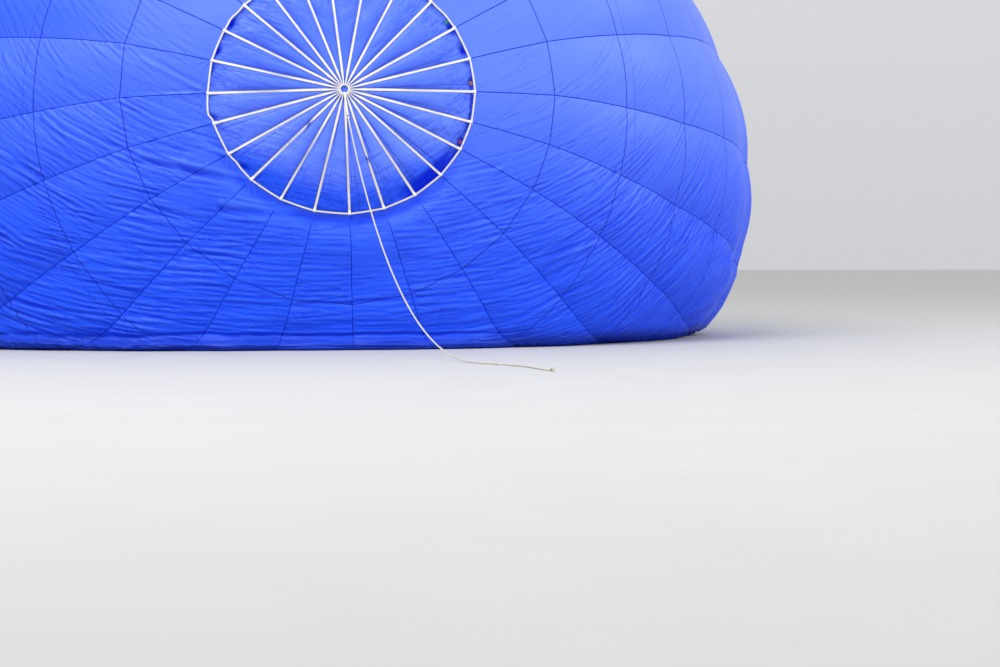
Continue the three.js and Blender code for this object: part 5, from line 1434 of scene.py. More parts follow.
def weld(b, c, axis, R, r=0.0026, mat=0, n=30):
    """rippled weld bead round a tube"""
    v, f, uv = torus(c, axis, R, r, n * 2, 7)
    v = np.asarray(v).reshape(n * 2, 7, 3); k = 1 + 0.0022 * (np.arange(n * 2) % 2)[:, None, None] / R
    b.add((np.asarray(c) + (v - np.asarray(c)) * k).reshape(-1, 3), f, mat, uv)

for i, (sx, sz, first) in enumerate(FANS):
    b = Parts()
    c = np.array([sx * FRAME_X, FRAME_Y - 0.070, RIG_Z + sz * FRAME_Z])
    v, f, uv = block(c, (0.062, 0.056, 0.062), 0.007, segs=3); b.add(v, f, 1, uv)
    for s in (-1, 1):
        bolt(b, c + X3 * s * 0.031, X3 * s, 0.008, 0.0005, 1)
    for k in range(first, first + 6):
        a = SEAM[k]
        end = np.array([c[0] + 0.025 * math.cos(a), c[1] - 0.021, c[2] + 0.025 * math.sin(a)])
        start = surface(MOUTH_AT + 0.07, a, -0.007) + np.array([0, 0.008, 0]); start[2] = max(start[2], 0.012)
        d = unit(end - start); L = float(np.linalg.norm(end - start))
        side = unit(np.cross(d, X3 if abs(d[0]) < 0.8 else Z3))
        # seven strands laid round each other show as a fluted, twisted section
        n = 42; t = np.linspace(0, 1, n)
        A = np.linspace(0, 2 * np.pi, 12, endpoint=False)
        sec = np.stack([(0.0023 + 0.0003 * np.cos(6 * A)) * np.cos(A), (0.0023 + 0.0003 * np.cos(6 * A)) * np.sin(A)], -1)
        v, f, uv = sweep(start + (end - start) * t[:, None], sec, twist=t * L * 2 * np.pi / 0.30); b.add(v, f, 0, uv)
        # thimble eye in the mouth loop, its ferrule and the turned-back tail
        loop = [start + d * (0.012 - 0.016 * math.cos(q)) + side * (0.0095 * math.sin(q) * (1 - 0.25 * math.cos(q))) for q in np.linspace(0, 2 * np.pi, 28, endpoint=False)]
        loop = np.array(loop); loop[:, 2] = np.maximum(loop[:, 2], 0.004)
        v, f, uv = sweep(loop, circle(0.0032, 8), closed=True); b.add(v, f, 0, uv)
        rod(b, start + d * 0.030, start + d * 0.056, 0.0052, 12, 1, 0.002)
        rod(b, start + d * 0.056, start + d * 0.068, 0.0027, 8, 0)
        # swaged stud entering the corner fitting
        rod(b, end - d * 0.070, end - d * 0.004, 0.0046, 12, 1, 0.002)
        rod(b, end - d * 0.018, end - d * 0.006, 0.0070, 6, 1, 0.001)
    ob = b.make(f"wire_fan_{i + 1}", BODY_OF[f"flying_wires_{i + 1}"], [M_WIRE, M_STEEL], sharp=35)
    finish_piece(ob, f"flying_wires_{i + 1}")

# ------------------------------------------------------------------ load frame, gimbal, burner
def tube_ring(b, hx, hz, r, corner, mat=0, y=0.0):
    """a rectangle of round tube with bent corners"""
    path = []
    for cx, cz, a0 in ((hx - corner, hz - corner, 0), (-hx + corner, hz - corner, 90), (-hx + corner, -hz + corner, 180), (hx - corner, -hz + corner, 270)):
        path += [rig(cx + corner * math.cos(math.radians(a0 + 90 * i / 6)), cz + corner * math.sin(math.radians(a0 + 90 * i / 6)), y) for i in range(7)]
    v, f, uv = sweep(path, circle(r, 20), closed=True, up=Y3); b.add(v, f, mat, uv)

def load_frame():
    b = Parts()
    tube_ring(b, FRAME_X, FRAME_Z, FRAME_R, 0.030)
    for sx, sz, _ in FANS:
        c = rig(sx * FRAME_X, sz * FRAME_Z)
        v, f, uv = block(c, (0.088, 0.078, 0.088), 0.009, segs=3); b.add(v, f, 0, uv)
        for s in (1, -1):
            bolt(b, c + X3 * sx * 0.044 + Z3 * s * 0.026, X3 * sx, 0.007, 0.0006)
            bolt(b, c + Z3 * sz * 0.044 + X3 * s * 0.026, Z3 * sz, 0.007, 0.0006)
        weld(b, c - X3 * sx * 0.046, X3, FRAME_R + 0.001); weld(b, c - Z3 * sz * 0.046, Z3, FRAME_R + 0.001)
        # socket that takes the upright
        v, f, uv = lathe([[0.029, 0.038], [0.0335, 0.038], [0.0335, 0.0402], [0.0275, 0.0402], [0.0275, 0.039]], c, Y3, 28); b.add(v, f, 0, uv)
    for s in (1, -1):
        x0, x1 = s * (FRAME_X - 0.050), s * FRAME_X
        L = 0.050; ri, ro = 0.009, 0.024
        v, f, uv = lathe([[ri, 0.0], [ro - 0.002, 0.0], [ro, 0.002], [ro, L - 0.001], [0, L - 0.001], [0, 0.035], [ri, 0.035], [ri, 0.0]], rig(x0, 0), X3 * s, 32); b.add(v, f, 0, uv)
        weld(b, rig(s * (FRAME_X - FRAME_R), 0), X3, ro - 0.001)
    ob = b.make("load_frame_welded", BODY_OF["load_frame"], [M_STEEL], sharp=35); finish_piece(ob, "load_frame")
load_frame()

def gimbal():
    b = Parts()
    tube_ring(b, GIMBAL_X, GIMBAL_Z, GIMBAL_R, 0.026)
    for s in (1, -1):
        rod(b, rig(s * GIMBAL_X, 0), rig(s * (FRAME_X - 0.018), 0), 0.008, 24)
        v, f, uv = lathe([[0.008, 0], [0.016, 0], [0.017, 0.001], [0.017, 0.007], [0.016, 0.008], [0.008, 0.008]], rig(s * (GIMBAL_X + 0.014), 0), X3 * s, 28); b.add(v, f, 1, uv)
        weld(b, rig(s * (GIMBAL_X + GIMBAL_R), 0), X3, 0.0085)
        L = 0.040
        v, f, uv = lathe([[0.009, 0], [0.0205, 0], [0.022, 0.0015], [0.022, L], [0, L], [0, 0.033], [0.009, 0.033], [0.009, 0]], rig(0, s * (GIMBAL_Z - 0.040)), Z3 * s, 28); b.add(v, f, 0, uv)
        weld(b, rig(0, s * (GIMBAL_Z - GIMBAL_R)), Z3, 0.0205)
    ob = b.make("gimbal_welded", BODY_OF["gimbal_frame"], [M_STEEL, M_BRASS], sharp=35); finish_piece(ob, "gimbal_frame")
gimbal()

def burner_block():
    b = Parts()
    v, f, uv = block(rig(0, 0), (2 * CAN_X + 0.118, 0.068, 0.088), 0.008, segs=3); b.add(v, f, 0, uv)
    v, f, uv = block(rig(0, 0, 0.005), (0.138, 0.058, 0.148), 0.010, segs=3); b.add(v, f, 0, uv)
    for s in (1, -1):
        rod(b, rig(0, s * 0.070), rig(0, s * (GIMBAL_Z - 0.012)), 0.008, 24)
        v, f, uv = lathe([[0.0, 0], [0.016, 0], [0.0165, 0.006], [0.011, 0.014], [0, 0.014]], rig(0, s * 0.074), Z3 * s, 6); b.add(v, f, 1, uv)
        c = rig(s * CAN_X, 0)
        prof = [[0, -0.0585], [0.034, -0.0585], [0.0385, -0.055], [0.0395, -0.046], [0.036, -0.043], [0.036, -0.038], [0.0395, -0.036],
                [0.0395, 0.046], [0.038, 0.048], [0.033, 0.052], [0.033, 0.066], [0.030, 0.072], [0.026, 0.0795], [0, 0.0795]]
        v, f, uv = lathe(prof, c, Y3, 40); b.add(v, f, 0, uv)
        for q in range(6):
            a = math.radians(30 + 60 * q)
            bolt(b, c + Y3 * 0.0480 + X3 * 0.0345 * math.cos(a) * 0.86 + Z3 * 0.0345 * math.sin(a) * 0.86, Y3, 0.0030, 0.0030, 1)
        # main blast valve standing out at the upper side, its lever along the burner
        p0, p1 = rig(s * CAN_X, 0.030, 0.020), rig(s * CAN_X, 0.095, 0.020)
        rod(b, p0, p1, 0.0132, 24, 1, 0.002)
        v, f, uv = lathe([[0.0, 0], [0.0138, 0], [0.0138, 0.009], [0, 0.009]], p0 + Z3 * 0.040, Z3, 6); b.add(v, f, 1, uv)
        lever = [p1 - Z3 * 0.006, p1 + Z3 * 0.000 + Y3 * 0.010, p1 - Z3 * 0.002 + Y3 * 0.030, p1 - Z3 * 0.010 + Y3 * 0.054]
        v, f, uv = sweep(spline(lever, 14), rounded(0.005, 0.015, 0.002, 2)); b.add(v, f, 3, uv)
        # regulator, union nuts and short hard pipe between the valve and the manifold
        for (x, z, yy, L) in ((0.036, -0.046, 0.012, 0.022), (-0.036, -0.046, 0.012, 0.022)):
            q0 = rig(s * CAN_X + x, z + 0.002, yy)
            rod(b, q0, q0 - Z3 * L, 0.0085, 20, 1, 0.0015)
            v, f, uv = lathe([[0, 0], [0.0105, 0], [0.0105, 0.008], [0, 0.008]], q0 - Z3 * 0.009, -Z3, 6); b.add(v, f, 1, uv)
        pipe = [rig(s * (CAN_X - 0.036), -0.066, 0.012), rig(s * (CAN_X - 0.050), -0.072, 0.013), rig(s * 0.050, -0.072, 0.013), rig(s * 0.034, -0.068, 0.010)]
        v, f, uv = sweep(spline(pipe, 26), circle(0.0042, 12)); b.add(v, f, 4, uv)
    # two plain gauge bezels on the manifold
    for s in (1, -1):
        g = rig(s * 0.036, 0.0, 0.034)
        v, f, uv = lathe([[0, 0], [0.020, 0], [0.0215, 0.002], [0.0215, 0.010], [0.0190, 0.0125], [0.0178, 0.0115], [0, 0.0115]], g, Y3, 36); b.add(v, f, 1, uv)
    ob = b.make("burner_machined", BODY_OF["burner_block"], [M_BURNER, M_BRASS, M_RUBBER, M_HANDLE, M_TINT], sharp=35); finish_piece(ob, "burner_block")
    for side_name, s in (("left", -1), ("right", 1)):
        b = Parts()
        y0 = -0.060; c = rig(s * CAN_X, 0); up = -Y3
        # thin can with rolled lip and two swaged beads; heights are along -Y from the block
        out = [[0.0, 0.0600], [CAN_R - 0.031, 0.0600], [CAN_R - 0.012, 0.0800], [CAN_R - 0.004, 0.0990], [CAN_R - 0.0006, 0.1190],
               [CAN_R - 0.0006, 0.185], [CAN_R - 0.0032, 0.189], [CAN_R - 0.0032, 0.195], [CAN_R - 0.0006, 0.199],
               [CAN_R - 0.0006, 0.335], [CAN_R - 0.0032, 0.339], [CAN_R - 0.0032, 0.345], [CAN_R - 0.0006, 0.349],
               [CAN_R - 0.0006, 0.4340], [CAN_R - 0.0014, 0.4390], [CAN_R - 0.0040, 0.4398], [CAN_R - 0.0058, 0.4380], [CAN_R - 0.0052, 0.430],
               [CAN_R - 0.0052, 0.126], [CAN_R - 0.034, 0.082], [0.0, 0.082]]
        v, f, uv = lathe(out, c, up, 72); b.add(v, f, 0, uv)
        # vaporiser coil: close turns inside the wall, then down to the jets
        n = 420; q = np.linspace(0, 1, n); ang = q * 2 * np.pi * 7.0
        R = 0.113 + 0.004 * np.sin(q * np.pi); h = 0.150 + q * 0.215
        coil = c + (R * np.cos(ang))[:, None] * X3 + (R * np.sin(ang))[:, None] * Z3 - h[:, None] * Y3
        v, f, uv = sweep(coil, circle(0.0068, 10)); b.add(v, f, 1, uv)
        drop = spline([coil[-1], coil[-1] * 0.55 + (c - Y3 * 0.340) * 0.45, c - Y3 * 0.300 + X3 * 0.030, c - Y3 * 0.190 + X3 * 0.020, c - Y3 * 0.120], 50)
        v, f, uv = sweep(drop, circle(0.0064, 10)); b.add(v, f, 1, uv)
        rise = spline([coil[0], c - Y3 * 0.118 + (coil[0] - c) * np.array([0.8, 0, 0.8]), c - Y3 * 0.090 + X3 * 0.040], 16)
        v, f, uv = sweep(rise, circle(0.0064, 10)); b.add(v, f, 1, uv)
        # jet ring with its nozzles, and the pilot's shield
        v, f, uv = torus(c - Y3 * 0.128, Y3, 0.060, 0.0085, 56, 12); b.add(v, f, 1, uv)
        for j in range(18):
            a = 2 * math.pi * j / 18; p = c - Y3 * 0.134 + (X3 * math.cos(a) + Z3 * math.sin(a)) * 0.060
            v, f, uv = lathe([[0, 0], [0.0044, 0], [0.0044, 0.005], [0.0026, 0.010], [0.0010, 0.0102], [0, 0.0095]], p, -Y3, 10); b.add(v, f, 2, uv)
        for a in (0.5, 2.6, 4.7):
            v, f, uv = sweep([c - Y3 * 0.128 + (X3 * math.cos(a) + Z3 * math.sin(a)) * x for x in (0.012, 0.052)], circle(0.0052, 10)); b.add(v, f, 1, uv)
        v, f, uv = lathe([[0.0, 0.082], [0.017, 0.082], [0.017, 0.150], [0.0155, 0.152], [0.0140, 0.150], [0.0140, 0.090], [0, 0.090]], c, up, 26); b.add(v, f, 0, uv)
        ob = b.make(f"burner_can_{side_name}_coil", BODY_OF[f"burner_can_{side_name}"], [M_TINT, M_SOOT, M_BRASS], sharp=35)
        finish_piece(ob, f"burner_can_{side_name}")
burner_block()

# ------------------------------------------------------------------ uprights: poles in laced leather sleeves
RIM_Y, RIM_H, WALL_L, BASE_H = 14.620, 0.080, 1.000, 0.060
BX, BZ, WT, LIP, CORNER = 0.750, 0.600, 0.030, 0.030, 0.120
WALL_Y = RIM_Y + RIM_H + 0.0005; BASE_Y = WALL_Y + WALL_L + 0.0005; END_Y = BASE_Y + BASE_H

for i, name in enumerate(CORNERS):
    sx, sz, _ = FANS[i]
    p, q = rig(sx * FRAME_X, sz * FRAME_Z, 0.0405), np.array([sx * 0.640, RIM_Y - 0.0005, RIG_Z + sz * 0.490])
    b = Parts()
    n, m = 74, 24
    t = np.linspace(0, 1, n); A = np.linspace(0, 2 * np.pi, m, endpoint=False)
    T, AA = np.meshgrid(t, A, indexing="ij")
    R = 0.0246 + 0.0011 * noise(T * 26, AA * 1.2, 620 + i) + 0.0007 * noise(T * 60, AA * 2.4, 630 + i)
    R -= 0.0016 * np.exp(-(((AA - math.pi) / 0.16) ** 2))                 # drawn in along the lacing
    for end in (0.0, 1.0):                                                   # gathered under its end straps
        R -= 0.0022 * np.exp(-((T - abs(end - 0.035)) / 0.010) ** 2)
    R *= np.where((T < 0.004) | (T > 0.996), 0.93, 1.0)
    c = p + (q - p) * t[:, None]
    V = c[:, None, :] + (R * np.cos(AA))[..., None] * X3 + (R * np.sin(AA))[..., None] * Z3
    f = [tuple(x) for x in grid_faces(n, m, wrap=True)] + [tuple(range(m)), tuple(reversed(range((n - 1) * m, n * m)))]
    b.add(V, [x[::-1] for x in f], 0, np.stack([AA * 0.025, T * 0.84], -1))
    # crossed lacing up the seam
    for j in range(34):
        z0 = 0.06 + 0.88 * j / 34; z1 = z0 + 0.88 / 34
        for s in (-1, 1):
            a0, a1 = math.pi - 0.24 * s, math.pi + 0.24 * s
            pts = [p + (q - p) * z + X3 * 0.0256 * math.cos(a) + Z3 * 0.0256 * math.sin(a) for z, a in ((z0, a0), ((z0 + z1) / 2, math.pi), (z1, a1))]
            v, f, uv = sweep(pts, circle(0.0011, 5)); b.add(v, f, 1, uv)
    for z in (0.035, 0.965):
        v, f, uv = torus(p + (q - p) * z, Y3, 0.0232, 0.0026, 32, 8); b.add(v, f, 2, uv)
    ob = b.make(f"upright_sleeve_{name}", BODY_OF[f"upright_{name}"], [M_LEATHER, M_THREAD, M_HIDE], sharp=60)
    finish_piece(ob, f"upright_{name}")

# ------------------------------------------------------------------ basket
def outline(hx, hz, r, step, y):
    """points round a rectangle with round corners, evenly spaced, with outward normals"""
    pts = []
    for cx, cz, a0 in ((hx - r, hz - r, 0), (-hx + r, hz - r, 90), (-hx + r, -hz + r, 180), (hx - r, -hz + r, 270)):
        pts += [(cx + r * math.cos(math.radians(a0 + 90 * i / 24)), cz + r * math.sin(math.radians(a0 + 90 * i / 24))) for i in range(25)]
    pts = np.array(pts + [pts[0]])
    l = np.concatenate([[0], np.cumsum(np.linalg.norm(np.diff(pts, axis=0), axis=1))])
    n = step if isinstance(step, int) else int(round(l[-1] / step))
    q = np.linspace(0, l[-1], n, endpoint=False)
    P = np.stack([np.interp(q, l, pts[:, 0]), np.full(n, y), np.interp(q, l, pts[:, 1]) + RIG_Z], -1)
    t = unit(np.roll(P, -1, 0) - np.roll(P, 1, 0))
    return P, np.stack([t[:, 2], np.zeros(n), -t[:, 0]], -1), q

def wicker():
    b = Parts()
    P, N, q = outline(BX - WT / 2, BZ - WT / 2, CORNER - WT / 2, 184, 0.0)
    stakes = len(P) // 2
    hole = lambda p, y, grow=0.0: abs(p[0]) < 0.110 + grow and 15.2005 - grow < y < 15.3205 + grow and abs(p[2] - RIG_Z) > BZ - 0.06
    rng = np.random.default_rng(42)
    for s in range(stakes):
        p = P[2 * s]; n_ = N[2 * s]
        runs = [(WALL_Y + 0.001, BASE_Y - 0.0015)]
        if hole(p, 15.26, 0.004):
            runs = [(WALL_Y + 0.001, 15.197), (15.324, BASE_Y - 0.0015)]
        for (ya, yb) in runs:
            k = max(3, int((yb - ya) / 0.05)); ys = np.linspace(ya, yb, k)
            pts = np.stack([np.full(k, p[0]), ys, np.full(k, p[2])], -1) + n_ * (0.0007 * rng.normal(size=(k, 1)))
            v, f, uv = sweep(pts, circle(0.0046, 6)); b.add(v, f, 1, uv)
    rows = 56; pitch = (WALL_L - 0.006) / rows
    for r in range(rows):
        y = WALL_Y + 0.003 + pitch * (r + 0.5)
        sign = np.where(np.arange(len(P)) % 2 == 0, np.where((np.arange(len(P)) // 2 + r) % 2 == 0, 1.0, -1.0), 0.0)
        pts = P + N * (0.0088 * sign)[:, None]
        pts[:, 1] = y + 0.0009 * rng.normal(size=len(P))
        # a rod is full where it stands out and pressed flat where it passes between the stakes
        tall = pitch * np.where(sign != 0, 0.84, 0.56) * rng.uniform(0.95, 1.04)
        thick = np.where(sign != 0, 0.0050, 0.0038)
        ring = np.linspace(0, 2 * np.pi, 5, endpoint=False)
        sec = np.stack([tall[:, None] * np.cos(ring), thick[:, None] * np.sin(ring)], -1)
        gone = np.array([hole(p, y) for p in P])
        if not gone.any():
            v, f, uv = sweep(pts, sec, closed=True, up=Y3); b.add(v, f, 0, uv + [r * 0.37, r * 0.61])
            continue
        idx = np.where(gone)[0]; start = idx[np.where(np.diff(np.concatenate([[-99], idx])) > 1)[0]]
        # open runs between the holes
        order = []; cur = []
        first = int(np.where(gone & ~np.roll(gone, -1))[0][0]) + 1
        for j in range(len(P)):
            i = (first + j) % len(P)
            if gone[i]:
                if len(cur) > 2: order.append(cur)
                cur = []
            else:
                cur.append(i)
        if len(cur) > 2: order.append(cur)
        for run_ in order:
            v, f, uv = sweep(pts[run_], sec[run_], up=Y3); b.add(v, f, 0, uv + [r * 0.37, r * 0.61])
    # three heavy bands of twisted cane: at top, middle and foot
    for y in (WALL_Y + 0.012, WALL_Y + 0.34, BASE_Y - 0.014):
        for ph in (0, math.pi):
            Q, M, qq = outline(BX - WT / 2, BZ - WT / 2, CORNER - WT / 2, 276, y)
            w = qq * 2 * np.pi / 0.066 + ph
            pts = Q + M * (0.0098 * np.cos(w))[:, None]; pts[:, 1] += 0.0058 * np.sin(w)
            v, f, uv = sweep(pts, circle(0.0048, 6), closed=True, up=Y3); b.add(v, f, 1, uv)
    # leather-bound frames round the foot holes
    for s in (1, -1):
        c = np.array([0, 15.2605, RIG_Z + s * (BZ - WT / 2)])
        hx, hy, rr = 0.119, 0.069, 0.022; loop = []
        for cx, cy, a0 in ((hx - rr, hy - rr, 0), (-hx + rr, hy - rr, 90), (-hx + rr, -hy + rr, 180), (hx - rr, -hy + rr, 270)):
            loop += [c + X3 * (cx + rr * math.cos(math.radians(a0 + 90 * i / 6))) + Y3 * (cy + rr * math.sin(math.radians(a0 + 90 * i / 6))) for i in range(7)]
        v, f, uv = sweep(loop, rounded(0.0275, 0.017, 0.006, 3), closed=True, up=Z3); b.add(v, f, 2, uv)
    ob = b.make("basket_woven", BODY_OF["basket_wicker"], [M_WICKER, M_CANE, M_LEATHER], sharp=70)
    finish_piece(ob, "basket_wicker")
wicker()

def basket_rim():
    b = Parts()
    hx, hz = (BX + LIP + BX - WT - LIP) / 2, (BZ + LIP + BZ - WT - LIP) / 2
    P, N, q = outline(hx, hz, CORNER - 0.004, 360, RIM_Y + RIM_H / 2)
    m = 22; A = np.linspace(0, 2 * np.pi, m, endpoint=False)
    ca, sa = np.cos(A), np.sin(A)
    sup = lambda c: np.sign(c) * np.abs(c) ** 0.72
    U, W = 0.0435 * sup(ca), 0.0388 * sup(sa)                    # across, along Y
    Q, AA = np.meshgrid(q, A, indexing="ij")
    L = q[-1] + (q[1] - q[0])
    panels = 10; ph = (Q / L * panels) % 1.0
    seam = np.exp(-((np.minimum(ph, 1 - ph) * L / panels) / 0.008) ** 2)
    k = 1 - 0.055 * seam + 0.022 * noise(Q / 0.055, AA * 1.3, 640) * 1.0 + 0.012 * noise(Q / 0.020, AA * 2.2, 641) - 0.012
    k = np.minimum(k, 1.0)
    V = P[:, None, :] + N[:, None, :] * (U * k)[..., None] + Y3 * (W * k)[..., None]
    n = len(P)
    f = [tuple(x) for x in grid_faces(n, m, wrap=True)] + [((n - 1) * m + j, (n - 1) * m + (j + 1) % m, (j + 1) % m, j) for j in range(m)]
    b.add(V, f, 0, np.stack([AA * 0.04, Q], -1))
    # thick thread whipped round the lower edge
    for i in range(0, n, 2):
        o = P[i] + N[i] * 0.0405; in_ = P[i] + N[i] * 0.0330
        pts = [o + Y3 * 0.020, o + Y3 * 0.030 + (P[(i + 1) % n] - P[i]) * 0.4, in_ + Y3 * 0.0385 + (P[(i + 1) % n] - P[i]) * 0.7]
        v, f, uv = sweep(pts, circle(0.0012, 5)); b.add(v, f, 1, uv)
    ob = b.make("basket_rim_padded", BODY_OF["basket_rim"], [M_LEATHER, M_THREAD], sharp=60)
    finish_piece(ob, "basket_rim")
basket_rim()

def slab(b, hx, hz, r, y0, y1, bevel, mat):
    """flat board with a round-cornered outline and eased edges"""
    rows = [(y0, bevel), (y0 + bevel * 0.3, bevel * 0.3), (y0 + bevel, 0), (y1 - bevel, 0), (y1 - bevel * 0.3, bevel * 0.3), (y1, bevel)]
    V = np.stack([outline(hx - e, hz - e, r - e, 96, y)[0] for y, e in rows])
    n, m = V.shape[:2]
    f = [tuple(x) for x in grid_faces(n, m, wrap=True)] + [tuple(reversed(range(m))), tuple(range((n - 1) * m, n * m))]
    b.add(V, f, mat, V.reshape(-1, 3)[:, [0, 2]])

def floor_and_runners():
    b = Parts()
    # five plies, the middle ones a hair back from the edge, with a rawhide band round the edge
    for j in range(5):
        y = BASE_Y + 0.0004 + BASE_H * j / 5
        e = 0.0004 + 0.0012 * (j % 2)
        slab(b, BX + LIP - e, BZ + LIP - e, CORNER + LIP - e, y, y + BASE_H / 5 - 0.0006, 0.0018, 0)
    P, N, q = outline(BX + LIP - 0.004, BZ + LIP - 0.004, CORNER + LIP - 0.004, 120, BASE_Y + 0.006)
    v, f, uv = sweep(P, rounded(0.010, 0.005, 0.002, 2), closed=True, up=Y3); b.add(v, f, 1, uv)
    ob = b.make("basket_floor_ply", BODY_OF["basket_floor"], [M_PLY, M_HIDE], sharp=35); finish_piece(ob, "basket_floor")
    for side_name, s in (("left", -1), ("middle", 0), ("right", 1)):
        b = Parts()
        v, f, uv = block([s * 0.560, END_Y + 0.023, RIG_Z], (0.068, 0.0435, 1.078), 0.007, segs=3); b.add(v, f, 0, uv)
        for z in (-0.46, -0.16, 0.16, 0.46):
            p = np.array([s * 0.560, END_Y + 0.0448, RIG_Z + z])
            v, f, uv = lathe([[0, 0], [0.013, 0], [0.013, 0.0006], [0.006, 0.0009], [0, 0.0009]], p - Y3 * 0.0004, Y3, 20); b.add(v, f, 1, uv)
        ob = b.make(f"runner_{side_name}_oak", BODY_OF[f"runner_{side_name}"], [M_PLY, M_STEEL], sharp=35); finish_piece(ob, f"runner_{side_name}")
floor_and_runners()

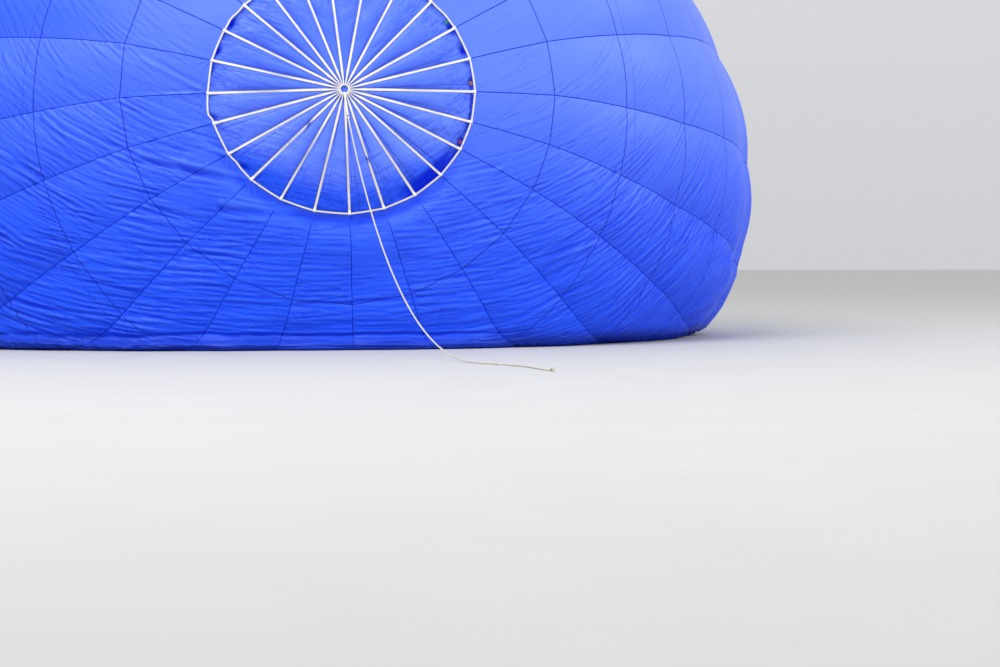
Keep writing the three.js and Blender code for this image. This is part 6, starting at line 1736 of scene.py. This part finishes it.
# ------------------------------------------------------------------ fuel cylinders, strapped in the corners
CYL_R, CYL_L = 0.150, 0.780
for i, name in enumerate(CORNERS):
    sx, sz, _ = FANS[i]
    c = np.array([sx * 0.555, 0.0, RIG_Z + sz * 0.400]); y0 = BASE_Y - 0.001; y1 = y0 - CYL_L
    b = Parts()
    h = lambda y: y0 - y                                     # heights along -Y from the foot
    body = [[0, 0.014], [0.055, 0.016], [0.110, 0.030], [CYL_R - 0.0255, 0.052], [CYL_R - 0.0090, 0.072], [CYL_R - 0.0015, 0.094], [CYL_R - 0.0006, 0.104],
            [CYL_R - 0.0006, 0.335], [CYL_R - 0.0018, 0.340], [CYL_R + 0.0, 0.345], [CYL_R + 0.0, 0.353], [CYL_R - 0.0018, 0.358], [CYL_R - 0.0006, 0.363],
            [CYL_R - 0.0006, 0.606], [CYL_R - 0.0080, 0.630], [CYL_R - 0.0240, 0.655], [0.105, 0.674], [0.076, 0.688], [0.045, 0.6935], [0, 0.6950]]
    v, f, uv = lathe(body, c + Y3 * y0, -Y3, 56); b.add(v, f, 0, uv)
    foot = [[CYL_R - 0.031, 0.001], [CYL_R - 0.027, 0.0], [CYL_R - 0.0255, 0.002], [CYL_R - 0.0255, 0.052], [CYL_R - 0.031, 0.052], [CYL_R - 0.031, 0.001]]
    v, f, uv = lathe(foot, c + Y3 * y0, -Y3, 56); b.add(v, f, 0, uv)
    # guard collar, rolled at the top
    cl = [[0.0845, 0.690], [0.0845, 0.774], [0.0855, 0.7785], [0.0880, 0.7795], [0.0898, 0.7780], [0.0898, 0.690], [0.0845, 0.690]]
    v, f, uv = lathe(cl, c + Y3 * y0, -Y3, 56); b.add(v, f, 0, uv)
    v, f, uv = torus(c + Y3 * (y0 - 0.689), Y3, 0.0885, 0.0020, 48, 8); b.add(v, f, 0, uv)
    # liquid valve with handwheel, relief valve, contents gauge
    v, f, uv = lathe([[0, 0.692], [0.0190, 0.692], [0.0190, 0.702], [0.0115, 0.705], [0.0115, 0.728], [0.0145, 0.730], [0.0145, 0.742], [0.0070, 0.744], [0.0070, 0.752], [0, 0.752]], c + Y3 * y0, -Y3, 24); b.add(v, f, 1, uv)
    hub = c + Y3 * (y0 - 0.7545)
    v, f, uv = torus(hub, Y3, 0.0230, 0.0042, 36, 10); b.add(v, f, 2, uv)
    for a in np.linspace(0, 2 * np.pi, 3, endpoint=False):
        v, f, uv = sweep([hub, hub + (X3 * math.cos(a) + Z3 * math.sin(a)) * 0.022], circle(0.0030, 8)); b.add(v, f, 2, uv)
    for (ax, az, R, H) in ((0.046, 0.012, 0.0130, 0.024), (-0.040, -0.024, 0.0175, 0.016)):
        p = c + Y3 * (y0 - 0.690) + X3 * ax + Z3 * az
        v, f, uv = lathe([[0, 0], [R, 0], [R, H * 0.6], [R * 0.92, H], [0, H]], p, -Y3, 26); b.add(v, f, 1, uv)
    out_ = [c + Y3 * (y0 - 0.716), c + Y3 * (y0 - 0.716) - X3 * sx * 0.030, c + Y3 * (y0 - 0.720) - X3 * sx * 0.048]
    v, f, uv = sweep(out_, circle(0.0072, 14)); b.add(v, f, 1, uv)
    # two webbing straps
    for hh in (0.205, 0.520):
        rr = CYL_R + 0.0002
        v, f, uv = lathe([[rr - 0.0014, hh], [rr + 0.0000, hh + 0.001], [rr + 0.0000, hh + 0.037], [rr - 0.0014, hh + 0.038], [rr - 0.0014, hh]], c + Y3 * y0, -Y3, 64); b.add(v, f, 3, uv[:, [1, 0]])
    ob = b.make(f"cylinder_{name}", BODY_OF[f"fuel_cylinder_{name}"], [M_CYL, M_BRASS, M_HANDLE, M_STRAP], sharp=35)
    finish_piece(ob, f"fuel_cylinder_{name}")

# ------------------------------------------------------------------ floor and light
def stage_floor():
    ob = link("floor", [(-160, -160, 0), (160, -160, 0), (160, 160, 0), (-160, 160, 0)], [(0, 1, 2, 3)], None, smooth=False)
    m, nt, bsdf = nodes_of("floor", Roughness=0.85)
    tc = nt.nodes.new("ShaderNodeTexCoord")
    n = node(nt, "ShaderNodeTexNoise", Vector=tc.outputs["Object"], Scale=0.8, Detail=5.0)
    nt.links.new(mix_color(nt, n.outputs[0], (0.43, 0.43, 0.42), (0.47, 0.47, 0.46)), bsdf.inputs["Base Color"])
    ob.data.materials.append(m)
stage_floor()

world = bpy.data.worlds.new("studio"); scene.world = world; world.use_nodes = True
wn = world.node_tree
bg = wn.nodes["Background"]
tc = wn.nodes.new("ShaderNodeTexCoord")
sepw = node(wn, "ShaderNodeSeparateXYZ", Vector=tc.outputs["Generated"])
height = node(wn, "ShaderNodeMapRange", Value=sepw.outputs[2])
height.inputs[1].default_value, height.inputs[2].default_value = -1.0, 1.0
sky = ramp(wn, height.outputs[0], [(0.0, (0.40, 0.40, 0.40)), (0.5, (0.55, 0.56, 0.58)), (0.62, (0.66, 0.67, 0.69)), (0.8, (0.90, 0.92, 0.95)), (1.0, (1.0, 1.0, 1.0))])
wn.links.new(sky, bg.inputs[0])
bg.inputs[1].default_value = 1.12

def area(name, loc, aim, size, power, colour=(1, 1, 1)):
    d = bpy.data.lights.new(name, "AREA"); d.shape = "RECTANGLE"; d.size, d.size_y = size; d.energy = power; d.color = colour
    o = bpy.data.objects.new(name, d); scene.collection.objects.link(o); o.location = loc
    o.rotation_euler = (Vector(aim) - Vector(loc)).to_track_quat("-Z", "Y").to_euler()
    return o
area("top_soft", (-10, -22, 26), (0, -5, 4), (18, 12), 7500, (1.0, 0.99, 0.97))
area("side_soft", (32, -18, 19), (5, -1, 2.5), (18, 14), 4600, (1.0, 1.0, 1.0))

scene.view_settings.view_transform = "Standard"
scene.view_settings.look = "None"
scene.view_settings.exposure = 0.0
